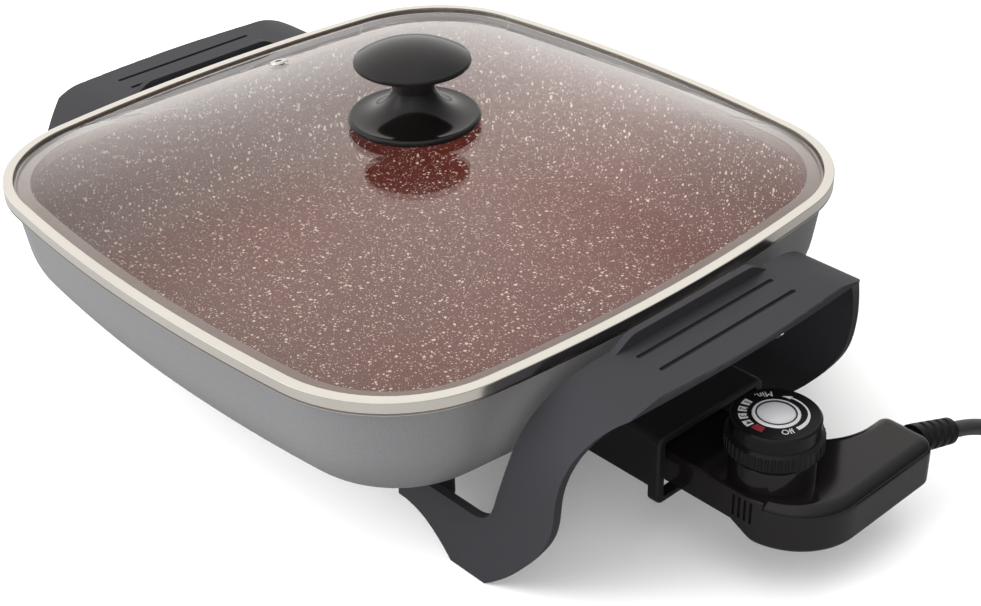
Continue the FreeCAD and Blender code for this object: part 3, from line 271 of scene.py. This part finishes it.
def pick(*pieces):
    """Select these pieces and nothing else, with the last one active."""
    if bpy.context.object and bpy.context.object.mode != "OBJECT":
        bpy.ops.object.mode_set(mode="OBJECT")
    bpy.ops.object.select_all(action="DESELECT")
    for piece in pieces:
        piece.select_set(True)
        bpy.context.view_layer.objects.active = piece


def settle(piece, finish, body):
    """Put a finished piece's place into its mesh, dress it and let it ride on a body."""
    pick(piece)
    bpy.ops.object.transform_apply(location=True, rotation=True, scale=True)
    piece.data.materials.clear()
    piece.data.materials.append(finish.material)
    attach(piece, body)


# Stage: metres, degrees, millimetres of film, watts

CAMERA_PLACE = (0.50395, -0.4431, 0.4591)
CAMERA_AZIMUTH, CAMERA_ELEVATION, CAMERA_ROLL = -42.74, 32.03, -1.205
CAMERA_LENS, CAMERA_FILM = 63.05, 36.0
FLOOR_SIDE, FLOOR_DROP = 6.0, 0.0002
FLOOR_SHARE = 0.34                      # of its white, in the light that it gives the skillet
LAMPS = (                               # name, place, side, power
    ("lamp_above", (-0.3, -0.2, 1.6), 2.6, 26.0),
    ("lamp_left", (-0.7, -1.2, 0.6), 0.8, 20.0),
    ("lamp_front", (1.0, -1.1, 0.45), 0.8, 15.0),
)
LAMPS_AIM = (0, 0, 0.05)
SKY_STRENGTH = 1.16
SKY_STOPS = ((0.0, 0.16), (0.22, 0.42), (0.50, 0.92), (1.0, 1.0))     # height and grey
SKY_BEHIND = (-0.96, 0.28, 0.0), 1.5    # direction, and gain towards it
SKY_RIGHT = (0.82, 0.57, 0.0), 0.75
SKY_WINDOW = (-0.463, -0.793, 0.397), 1.0
WINDOW_SHARPNESS, WINDOW_LIGHT = 24.0, 1.7


class SKILLET_OT_stage(bpy.types.Operator):
    """Camera at the photograph's angle, a plain pale floor and soft studio light"""
    bl_idname = "skillet.stage"
    bl_label = "Stage"

    def execute(self, context):
        self.camera(context)
        self.floor(context)
        self.light(context)
        return {"FINISHED"}

    def camera(self, context):
        azimuth, elevation = math.radians(CAMERA_AZIMUTH), math.radians(CAMERA_ELEVATION)
        roll = math.radians(CAMERA_ROLL)
        ahead = Vector((-math.cos(elevation) * math.cos(azimuth),
                        -math.cos(elevation) * math.sin(azimuth),
                        -math.sin(elevation)))
        right = ahead.cross(Vector((0, 0, 1))).normalized()
        up = right.cross(ahead)
        turned_right = right * math.cos(roll) + up * math.sin(roll)
        turned_up = up * math.cos(roll) - right * math.sin(roll)
        lens = bpy.data.cameras.new("camera")
        lens.lens = CAMERA_LENS
        lens.sensor_width = CAMERA_FILM
        lens.sensor_fit = "HORIZONTAL"
        lens.clip_start = 0.01
        camera = bpy.data.objects.new("camera", lens)
        turn = Matrix((turned_right, turned_up, -ahead)).transposed().to_4x4()
        camera.matrix_world = Matrix.Translation(CAMERA_PLACE) @ turn
        context.scene.collection.objects.link(camera)
        context.scene.camera = camera

    def floor(self, context):
        """White where the camera sees it, and dimmer where it lights the skillet."""
        pick()
        bpy.ops.mesh.primitive_grid_add(x_subdivisions=4, y_subdivisions=4, size=FLOOR_SIDE,
                                        location=(0, 0, -FLOOR_DROP))
        floor = context.object
        floor.name = "floor"
        paper = Finish("floor_paper", Roughness=0.9, Specular_IOR_Level=0.0)
        seen = paper.node("ShaderNodeLightPath", output="Is Camera Ray")
        white = context.scene.skillet_colours.floor[:]
        paper.surface(Base_Color=paper.blend(seen, shade(white, FLOOR_SHARE), white))
        floor.data.materials.append(paper.material)

    def light(self, context):
        context.scene.world = self.sky()
        context.scene.view_settings.view_transform = "Standard"
        for name, place, side, power in LAMPS:
            lamp = bpy.data.lights.new(name, "AREA")
            lamp.shape = "SQUARE"
            lamp.size = side
            lamp.energy = power
            piece = bpy.data.objects.new(name, lamp)
            piece.location = place
            aim = Vector(LAMPS_AIM) - Vector(place)
            piece.rotation_euler = aim.to_track_quat("-Z", "Y").to_euler()
            piece.visible_glossy = False
            piece.visible_transmission = False
            context.scene.collection.objects.link(piece)

    def sky(self):
        """White overhead and behind the skillet, dim low down in front, dark on its right.

        A window's soft glow is on its left, and the camera sees plain white.
        """
        world = bpy.data.worlds.new("studio")
        world.use_nodes = True
        sky = Nodes(world.node_tree)
        where = sky.node("ShaderNodeTexCoord", output="Generated")
        height = sky.node("ShaderNodeSeparateXYZ", None, {0: where}, output="Z")
        glow = sky.ramp(height, *((place, (grey, grey, grey)) for place, grey in SKY_STOPS))
        behind = self.towards(sky, where, *SKY_BEHIND)
        right = self.towards(sky, where, *SKY_RIGHT)
        backdrop = world.node_tree.nodes["Background"]
        seen = sky.node("ShaderNodeLightPath", output="Is Camera Ray")
        studio = sky.blend(right, sky.blend(behind, glow, (1.0, 0.98, 0.96)), (0.1, 0.1, 0.1))
        window = self.towards(sky, where, *SKY_WINDOW) ** WINDOW_SHARPNESS
        studio = sky.blend(window, studio, (WINDOW_LIGHT, WINDOW_LIGHT, WINDOW_LIGHT))
        sky.feed(backdrop.inputs["Color"], sky.blend(seen, studio, (1.0, 1.0, 1.0)))
        backdrop.inputs["Strength"].default_value = SKY_STRENGTH
        return world

    def towards(self, sky, where, way, gain):
        """0 over the half of the sky away from a direction, and up to gain or 1 towards it."""
        side = sky.node("ShaderNodeVectorMath", {"operation": "DOT_PRODUCT"},
                        {0: where, 1: way}, output="Value")
        return sky.node("ShaderNodeMath", {"operation": "MULTIPLY", "use_clamp": True},
                        {0: side, 1: gain})


# Cord: metres

COIL_TURNS = 5.5
COIL_WAIST, COIL_PITCH = 0.0275, 0.0078     # radius at the middle turn, and what each turn adds
COIL_LAYER = 0.0077                         # rise from the lower layer of turns to the upper one
COIL_CLIMB = 0.5                            # turns that the rise takes
COIL_MIDDLE = 0.1816                        # along y
CORD_LEVEL = 0.0036                         # middle of a cord that lies on the floor
CORD_TAIL = (                               # into the plug: how far past the coil, and how high
    (0.012, 0.0110), (0.021, 0.0096), (0.030, 0.0090), (0.037, 0.0090),
)


class SKILLET_OT_cord(bpy.types.Operator):
    """Mains lead: out of the boot, down to the floor and into a put-away coil beside its plug"""
    bl_idname = "skillet.cord"
    bl_label = "Cord"

    def execute(self, context):
        sizes = context.scene.skillet_sizes
        run = [
            (0.21025, 0.0872, 0.0318), (0.21138, 0.09584, 0.02953), (0.21175, 0.1056, 0.0250),
            (0.21185, 0.1158, 0.0193), (0.21155, 0.1270, 0.0126), (0.21085, 0.1386, 0.0074),
            (0.21015, 0.1508, 0.0045), (0.20975, 0.1632, 0.0036), (0.20975, 0.1746, 0.0036),
        ]
        coil = self.coil(run[-1][0], sizes.turn_points)
        last = coil[-1]
        tail = [(last.x, last.y - past, height) for past, height in CORD_TAIL]
        route = run + [tuple(point) for point in coil] + tail
        line = bpy.data.curves.new("mains_lead", "CURVE")
        line.dimensions = "3D"
        line.bevel_depth = sizes.cord_diameter / 2
        line.bevel_resolution = 6
        line.resolution_u = 6
        line.use_fill_caps = True
        spline = line.splines.new("NURBS")
        spline.points.add(len(route) - 1)
        for point, place in zip(spline.points, route):
            point.co = (*place, 1.0)
        spline.order_u = 3
        spline.use_endpoint_u = True
        cord = bpy.data.objects.new("mains_lead", line)
        context.scene.collection.objects.link(cord)
        rubber = plain("cord_sheath", (0.022, 0.021, 0.021), roughness=0.42, grain=1400.0,
                       strength=0.25)
        line.materials.append(rubber.material)
        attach(cord, "control")
        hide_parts("cord", "cord_coil")
        return {"FINISHED"}

    def coil(self, start, turn_points):
        """In along the floor to the narrow middle turn, up a layer and out again on top."""
        widest = COIL_WAIST + COIL_PITCH * COIL_TURNS / 2
        middle = Vector((start + widest, COIL_MIDDLE, CORD_LEVEL))
        points = []
        for step in range(int(COIL_TURNS * turn_points) + 1):
            turn = step / turn_points
            past_waist = turn - COIL_TURNS / 2
            radius = COIL_WAIST + COIL_PITCH * abs(past_waist)
            angle = math.pi - 2 * math.pi * turn
            climb = min(1.0, max(0.0, (past_waist + COIL_CLIMB / 2) / COIL_CLIMB))
            rise = COIL_LAYER * (1 - math.cos(math.pi * climb)) / 2
            reach = Vector((radius * math.cos(angle), radius * math.sin(angle), rise))
            points.append(middle + reach)
        return points


# Finishes of the frame's own nodes

PAN_INWARD = -0.002         # metres from the middle times the normal: below it a face looks inwards
PAN_UPWARD = 0.5            # share of the normal that points up, on the cavity's floor and the lip
PAN_BOTTOM = 0.0440         # metres: of the faces that look up, the outer ones lie lower


class SKILLET_OT_pan_finish(bpy.types.Operator):
    """Grey metallic paint outside the pan and a speckled red-brown coating inside it"""
    bl_idname = "skillet.pan_finish"
    bl_label = "Pan finish"

    def execute(self, context):
        colours = context.scene.skillet_colours
        sizes = context.scene.skillet_sizes
        paint = Finish("pan_paint_and_coating", Specular_IOR_Level=0.35)
        where = paint.place()
        inside = self.inside(paint)
        fine = paint.noise(where, scale=1500.0, detail=2.0)
        flake = paint.noise(where, scale=2600.0, detail=1.0)
        drift = paint.noise(where, scale=14.0, detail=2.0)
        shell = paint.blend(flake, shade(colours.shell, 0.72), shade(colours.shell, 1.30))
        clouds = paint.blend(drift * 0.5 + fine * 0.5,
                             shade(colours.coating, 0.62), shade(colours.coating, 1.40))
        large = paint.specks(where, spacing=sizes.speck_size, reach=0.48, rarity=4.6)
        small = paint.specks(paint.place(shift=(0.3, 0.1, 0.2)), spacing=sizes.speck_size * 0.5,
                             reach=0.46, rarity=2.8)
        speck = self.either(paint, large, small)
        coating = paint.blend(speck, clouds, colours.speck[:])
        paint.surface(Base_Color=paint.blend(inside, shell, coating),
                      Metallic=(1 - inside) * 0.35,
                      Roughness=0.40 + fine * 0.12 - inside * 0.12)
        paint.relief(fine, strength=0.05, distance=0.00010)
        dress(paint, "pan_body")
        return {"FINISHED"}

    def either(self, paint, first, second):
        return paint.node("ShaderNodeMath", {"operation": "MAXIMUM"}, {0: first, 1: second})

    def inside(self, paint):
        """1 on the cavity's wall, which looks at the pan's middle, and on its floor and lip."""
        place = paint.place(shift=(-PAN_MIDDLE[0], -PAN_MIDDLE[1], 0.0))
        normal = paint.node("ShaderNodeTexCoord", output="Normal")
        plan = paint.node("ShaderNodeVectorMath", {"operation": "MULTIPLY"},
                          {0: place, 1: (1, 1, 0)})
        facing = paint.node("ShaderNodeVectorMath", {"operation": "DOT_PRODUCT"},
                            {0: plan, 1: normal}, output="Value")
        height = paint.node("ShaderNodeSeparateXYZ", None, {0: place}, output="Z")
        upward = paint.node("ShaderNodeSeparateXYZ", None, {0: normal}, output="Z")
        return self.either(paint, facing < PAN_INWARD,
                           (upward > PAN_UPWARD) * (height > PAN_BOTTOM))


class SKILLET_OT_handle_finish(bpy.types.Operator):
    """Matt charcoal plastic with a fine moulded grain on the handles, and black on the guard"""
    bl_idname = "skillet.handle_finish"
    bl_label = "Handle and guard finish"

    def execute(self, context):
        colour = context.scene.skillet_colours.handle[:]
        dress(plain("handle_charcoal", colour, roughness=0.50, grain=1100.0, strength=0.30,
                    spread=0.10, Specular_IOR_Level=0.16), "right_handle", "left_handle")
        dress(plain("guard_black", (0.006, 0.006, 0.006), roughness=0.40, grain=1100.0,
                    strength=0.20, Specular_IOR_Level=0.25), "probe_guard")
        return {"FINISHED"}


GLASS_TINT = (0.97, 0.98, 0.975)
# the flange between these heights gets painted shade and a painted reflection of the coating
FLANGE_TOP = 0.0003         # metres over the glass's lowest point: the flange under the glass ends
FLANGE_FOOT = 0.0045        # metres over the rim's lowest point: the flange begins


class SKILLET_OT_lid_finish(bpy.types.Operator):
    """Clear glass, warm rolled steel and glossy black for the knob"""
    bl_idname = "skillet.lid_finish"
    bl_label = "Lid finish"

    def execute(self, context):
        colours = context.scene.skillet_colours
        dress(self.glass(), "lid_glass")
        dress(self.steel(colours.rim[:]), "lid_rim", "vent_eyelet")
        dress(plain("knob_gloss", (0.005, 0.004, 0.004), roughness=0.12, grain=500.0,
                    strength=0.03, Specular_IOR_Level=0.32), "knob_base", "knob_cap")
        dress(plain("knob_seal", (0.03, 0.03, 0.03), roughness=0.6, strength=0.2), "knob_gasket")
        return {"FINISHED"}

    def glass(self):
        """Clear on both faces, and open to the lamps' light so that the pan below is lit."""
        glass = Finish("clear_glass", Roughness=0.0, IOR=1.52, Transmission_Weight=1.0,
                       Specular_Tint=(1.0, 0.84, 0.74, 1.0))
        cloud = glass.noise(glass.place(), scale=9.0, detail=1.0)
        glass.surface(Base_Color=glass.blend(cloud, GLASS_TINT, (0.985, 0.99, 0.99)))
        lamp_ray = glass.node("ShaderNodeLightPath", output="Is Shadow Ray")
        clear = glass.node("ShaderNodeBsdfTransparent", None, {"Color": GLASS_TINT})
        body = Signal(glass, glass.shader.outputs[0])
        both = glass.node("ShaderNodeMixShader", None, {0: lamp_ray, 1: body, 2: clear})
        glass.tree.links.new(both.socket, glass.output.inputs["Surface"])
        return glass

    def steel(self, colour):
        """Fine rolled lines that run round the lid, and on the flange under the glass painted shade
        with a painted reddish reflection of the coating, and a rougher gloss.
        """
        steel = Finish("rim_steel_rolled", Metallic=1.0)
        lines = steel.noise(steel.place(scale=(30, 30, 4200)), scale=1.0, detail=3.0)
        stain = steel.noise(steel.place(), scale=22.0, detail=2.0)
        height = steel.node("ShaderNodeSeparateXYZ", None, {0: steel.place()}, output="Z")
        # the flange under the glass, where painted shade and a painted reflection of the coating
        # replace the steel's colour
        under = ((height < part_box("lid_glass")[0][2] + FLANGE_TOP)
                 * (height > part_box("lid_rim")[0][2] + FLANGE_FOOT))
        bright = steel.blend(stain, shade(colour, 0.90), shade(colour, 1.04))
        # painted shade, tinted reddish as a painted reflection of the red coating
        painted_flange_shade = steel.blend(stain, (0.22, 0.17, 0.155), (0.30, 0.24, 0.22))
        steel.surface(Base_Color=steel.blend(under, bright, painted_flange_shade),
                      Roughness=0.14 + lines * 0.06 + under * 0.15)
        steel.relief(lines, strength=0.03, distance=0.00005)
        return steel


class SKILLET_OT_control_finish(bpy.types.Operator):
    """Glossy brown-black casing, black dial, bright bezel and white lens"""
    bl_idname = "skillet.control_finish"
    bl_label = "Control finish"

    def execute(self, context):
        colour = context.scene.skillet_colours.casing[:]
        dress(plain("casing_gloss", colour, roughness=0.12, grain=380.0, strength=0.04,
                    Specular_IOR_Level=0.32), "casing_top", "casing_bottom")
        dress(plain("dial_black", (0.004, 0.004, 0.004), roughness=0.20, grain=1500.0,
                    strength=0.10, Specular_IOR_Level=0.18), "dial_knob")
        dress(plain("dial_face", (0.004, 0.004, 0.004), roughness=0.30, grain=1800.0,
                    strength=0.10, Specular_IOR_Level=0.15), "dial_disc")
        dress(plain("bezel_bright", (0.44, 0.44, 0.45), roughness=0.35, grain=600.0,
                    strength=0.03, spread=0.04), "dial_bezel")
        dress(plain("lens_white", (0.42, 0.42, 0.435), roughness=0.30, grain=300.0,
                    strength=0.03, spread=0.03), "dial_lens")
        dress(plain("boot_rubber", (0.004, 0.004, 0.004), roughness=0.42, grain=1400.0,
                    strength=0.25, Specular_IOR_Level=0.22), "cord_boot", "plug_body")
        return {"FINISHED"}


class SKILLET_OT_inner_finish(bpy.types.Operator):
    """Metals and ceramics of the heater, the probe, the thermostat and the fastenings"""
    bl_idname = "skillet.inner_finish"
    bl_label = "Inner parts finish"

    def execute(self, context):
        dress(plain("steel_plated", (0.62, 0.62, 0.63), roughness=0.26, metallic=1.0,
                    grain=700.0, strength=0.08),
              "terminal_pins", "handle_screws", "handle_washers", "guard_screws", "knob_washer",
              "knob_screw", "casing_screws", "sensor_tube", "thermostat_frame", "contact_rivets",
              "dial_spindle")
        dress(plain("steel_heater", (0.30, 0.29, 0.28), roughness=0.42, metallic=1.0,
                    grain=500.0, strength=0.2),
              "heating_element", "expansion_rod")
        dress(plain("brass_turned", (0.68, 0.48, 0.20), roughness=0.25, metallic=1.0,
                    grain=600.0, strength=0.08),
              "knob_insert", "contact_sleeves", "spindle_bush", "plug_pins")
        dress(plain("copper_spring", (0.72, 0.38, 0.22), roughness=0.30, metallic=1.0,
                    grain=600.0, strength=0.08),
              "fixed_blade", "moving_blade")
        dress(plain("ceramic_white", (0.72, 0.69, 0.62), roughness=0.55, grain=900.0,
                    strength=0.2, spread=0.06),
              "terminal_collars", "terminal_block", "blade_stack", "plunger", "lamp_resistor")
        dress(plain("lamp_glass_amber", (0.80, 0.28, 0.08), roughness=0.18, grain=400.0,
                    strength=0.05), "pilot_lamp")
        dress(plain("wire_sheath", (0.55, 0.10, 0.06), roughness=0.45, grain=1200.0,
                    strength=0.1), "lead_wires")
        return {"FINISHED"}


# Dial print: metres from the dial's axis, and degrees anticlockwise from the x axis

BOX_EDGES, BOX_SPANS = (0.0113, 0.0147), ((182, 197), (204, 217.5), (224.5, 239), (245.5, 260))
DIGIT_HEIGHT, DIGIT_FOOT = 0.0030, 0.0141
WINDOW_EDGES, WINDOW_SPAN = (0.0104, 0.0138), (264, 285)
WORDS = (                       # name, text, height, foot line, angle
    ("dial_word_min", "Min.", 0.0033, 0.0147, 150),
    ("dial_word_off", "Off", 0.0031, 0.0136, -31),
)
CAPITAL_SHARE = 0.72            # of the font's size
STROKE_GAIN = 0.00002           # that the strokes stand out all round
ARROW_START, ARROW_SWEEP, ARROW_INNER, ARROW_OUTER = -10, 112, 0.0109, 0.0129
ARROW_NARROWS, ARROW_HASTE = 0.0013, 1.8        # at its inner edge, within 1 / 1.8 of the sweep
HEAD_START, HEAD_SWEEP, HEAD_INNER, HEAD_OUTER = 101, 17, 0.0115, 0.0136
HEAD_RISE, HEAD_FALL = 0.0005, 0.0015           # of its inner and outer edge, from foot to tip
# a black ring of painted shade in the groove between the lens and its bezel
SHADE_RING_RADIUS, SHADE_RING_SECTION = 0.0078, 0.00036     # of the ring, and of its section
SHADE_RING_SINK = 0.00006           # below the bezel's top
SPIN_STEP = 3                   # degrees
MERGE_WITHIN = 0.000001


class SKILLET_OT_dial_print(bpy.types.Operator):
    """White boxes 1 to 4, Min., Off, a turning arrow, a red window and a thin black ring of painted
    shade in the groove round the lens
    """
    bl_idname = "skillet.dial_print"
    bl_label = "Dial print"

    def execute(self, context):
        colours = context.scene.skillet_colours
        self.rise = context.scene.skillet_sizes.print_rise
        white = plain("print_white", colours.print_white[:], roughness=0.40, grain=2500.0,
                      strength=0.05, spread=0.03)
        red = plain("print_red", colours.print_red[:], roughness=0.30, grain=2500.0, strength=0.05)
        black = plain("black_print_and_painted_shade", (0.012, 0.012, 0.013), roughness=0.45, grain=2500.0,
                      strength=0.05)
        for number, (start, end) in enumerate(BOX_SPANS, 1):
            box = self.sector("dial_box_%d" % number, *BOX_EDGES, start, end)
            settle(box, white, "dial")
            digit = self.word("dial_digit_%d" % number, str(number), DIGIT_HEIGHT, DIGIT_FOOT,
                              (start + end) / 2, layer=2)
            settle(digit, black, "dial")
        window = self.sector("dial_window", *WINDOW_EDGES, *WINDOW_SPAN)
        settle(window, red, "dial")
        settle(self.arrow(), white, "dial")
        # the lens ring is painted shade for the groove round the lens, in the black of the digits'
        # print
        settle(self.lens_gasket(), black, "dial")
        for name, text, height, foot, angle in WORDS:
            settle(self.word(name, text, height, foot, angle, layer=1), white, "dial")
        return {"FINISHED"}

    def spun_edge(self, inner, outer, start, sweep):
        """A radial edge turned about the dial's axis into a flat sector."""
        pick()
        width = outer - inner
        bpy.ops.mesh.primitive_plane_add(size=width, location=(0, 0, 0))
        piece = bpy.context.object
        piece.data.transform(Matrix.Translation((inner + width / 2, width / 2, 0)))
        bpy.ops.object.mode_set(mode="EDIT")
        bpy.ops.mesh.select_all(action="DESELECT")
        bpy.ops.object.mode_set(mode="OBJECT")
        for vertex in piece.data.vertices:
            vertex.select = vertex.co.y > width / 2
        bpy.ops.object.mode_set(mode="EDIT")
        bpy.ops.mesh.delete(type="VERT")
        bpy.ops.mesh.select_all(action="SELECT")
        bpy.ops.mesh.spin(steps=max(4, int(sweep / SPIN_STEP)), angle=math.radians(-sweep),
                          center=(0, 0, 0), axis=(0, 0, 1))
        bpy.ops.object.mode_set(mode="OBJECT")
        piece.data.transform(Matrix.Rotation(math.radians(start), 4, "Z"))
        return piece

    def thicken(self, piece):
        """Give flat print its thickness and set it on the dial's face."""
        pick(piece)
        bpy.ops.object.mode_set(mode="EDIT")
        bpy.ops.mesh.select_all(action="SELECT")
        bpy.ops.mesh.remove_doubles(threshold=MERGE_WITHIN)
        bpy.ops.mesh.extrude_region_move(TRANSFORM_OT_translate={"value": (0, 0, self.rise)})
        bpy.ops.mesh.select_all(action="SELECT")
        bpy.ops.mesh.normals_make_consistent(inside=False)
        bpy.ops.object.mode_set(mode="OBJECT")
        piece.location = (*DIAL_MIDDLE, DIAL_FACE)

    def sector(self, name, inner, outer, start, end):
        piece = self.spun_edge(inner, outer, start, end - start)
        piece.name = name
        self.thicken(piece)
        return piece

    def tapered(self, start, sweep, edges):
        """Flat sector whose inner and outer radius change along its sweep."""
        piece = self.spun_edge(1.0, 2.0, start, sweep)
        for vertex in piece.data.vertices:
            share = (math.degrees(math.atan2(vertex.co.y, vertex.co.x)) - start) / sweep
            inner, outer = edges(share)
            reach = vertex.co.xy.length
            vertex.co.xy *= (inner + (outer - inner) * (reach - 1.0)) / reach
        return piece

    def arrow(self):
        """Band from beside Off round the right of the dial, which narrows to a small head."""
        band = self.tapered(ARROW_START, ARROW_SWEEP, lambda share: (
            ARROW_INNER + ARROW_NARROWS * min(1.0, ARROW_HASTE * share), ARROW_OUTER))
        band.name = "dial_arrow"
        head = self.tapered(HEAD_START, HEAD_SWEEP, lambda share: (
            HEAD_INNER + HEAD_RISE * share, HEAD_OUTER - HEAD_FALL * share))
        pick(head, band)
        bpy.ops.object.join()
        self.thicken(band)
        return band

    def lens_gasket(self):
        """Thin black ring, painted shade for the groove between the lens and its bezel."""
        pick()
        bpy.ops.mesh.primitive_circle_add(vertices=12, radius=SHADE_RING_SECTION,
                                          location=(SHADE_RING_RADIUS, 0, 0),
                                          rotation=(math.pi / 2, 0, 0))
        ring = bpy.context.object
        ring.name = "lens_gasket"
        bpy.ops.object.transform_apply(location=True, rotation=True, scale=True)
        bpy.ops.object.mode_set(mode="EDIT")
        bpy.ops.mesh.select_all(action="SELECT")
        bpy.ops.mesh.spin(steps=72, angle=2 * math.pi, center=(0, 0, 0), axis=(0, 0, 1))
        bpy.ops.mesh.select_all(action="SELECT")
        bpy.ops.mesh.remove_doubles(threshold=MERGE_WITHIN)
        bpy.ops.mesh.normals_make_consistent(inside=False)
        bpy.ops.mesh.faces_shade_smooth()
        bpy.ops.object.mode_set(mode="OBJECT")
        ring.location = (*DIAL_MIDDLE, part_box("dial_bezel")[1][2] - SHADE_RING_SINK)
        return ring

    def word(self, name, text, height, foot, angle, layer):
        """Lettering whose tops point at the dial's middle, so its foot line is the outer one.

        A word bends along that line, and a single figure stays straight.
        """
        pick()
        bpy.ops.object.text_add(location=(0, 0, 0))
        piece = bpy.context.object
        piece.name = name
        piece.data.body = text
        piece.data.size = height / CAPITAL_SHARE
        piece.data.align_x = "CENTER"
        piece.data.offset = STROKE_GAIN
        piece.data.extrude = self.rise / 2
        piece.data.resolution_u = 3
        bpy.ops.object.convert(target="MESH")
        piece.data.transform(Matrix.Translation((0, -foot, layer * self.rise - self.rise / 2)))
        if len(text) > 1:
            for vertex in piece.data.vertices:
                reach = -vertex.co.y
                bow = vertex.co.x / foot
                vertex.co.x = reach * math.sin(bow)
                vertex.co.y = -reach * math.cos(bow)
        piece.data.transform(Matrix.Rotation(math.radians(angle) + math.pi / 2, 4, "Z"))
        piece.location = (*DIAL_MIDDLE, DIAL_FACE)
        return piece


class SKILLET_PT_panel(bpy.types.Panel):
    """Lists the skillet's sizes and colours, and buttons for its operators"""
    bl_label = "Electric Skillet"
    bl_idname = "SKILLET_PT_panel"
    bl_space_type = "VIEW_3D"
    bl_region_type = "UI"
    bl_category = "Skillet"

    def draw(self, context):
        column = self.layout.column()
        for group in (context.scene.skillet_sizes, context.scene.skillet_colours):
            for name in group.__annotations__:
                column.prop(group, name)
        for operator in OPERATORS:
            column.operator(operator.bl_idname)


OPERATORS = (SKILLET_OT_stage, SKILLET_OT_cord, SKILLET_OT_pan_finish,
             SKILLET_OT_handle_finish, SKILLET_OT_lid_finish, SKILLET_OT_control_finish,
             SKILLET_OT_inner_finish, SKILLET_OT_dial_print)
CLASSES = (SkilletSizes, SkilletColours, *OPERATORS, SKILLET_PT_panel)


def register():
    for item in CLASSES:
        bpy.utils.register_class(item)
    bpy.types.Scene.skillet_sizes = bpy.props.PointerProperty(type=SkilletSizes)
    bpy.types.Scene.skillet_colours = bpy.props.PointerProperty(type=SkilletColours)


def unregister():
    del bpy.types.Scene.skillet_colours
    del bpy.types.Scene.skillet_sizes
    for item in reversed(CLASSES):
        bpy.utils.unregister_class(item)


def main():
    register()
    bpy.ops.skillet.stage()
    bpy.ops.skillet.cord()
    bpy.ops.skillet.pan_finish()
    bpy.ops.skillet.handle_finish()
    bpy.ops.skillet.lid_finish()
    bpy.ops.skillet.control_finish()
    bpy.ops.skillet.inner_finish()
    bpy.ops.skillet.dial_print()


if __name__ == "__main__":
    main()
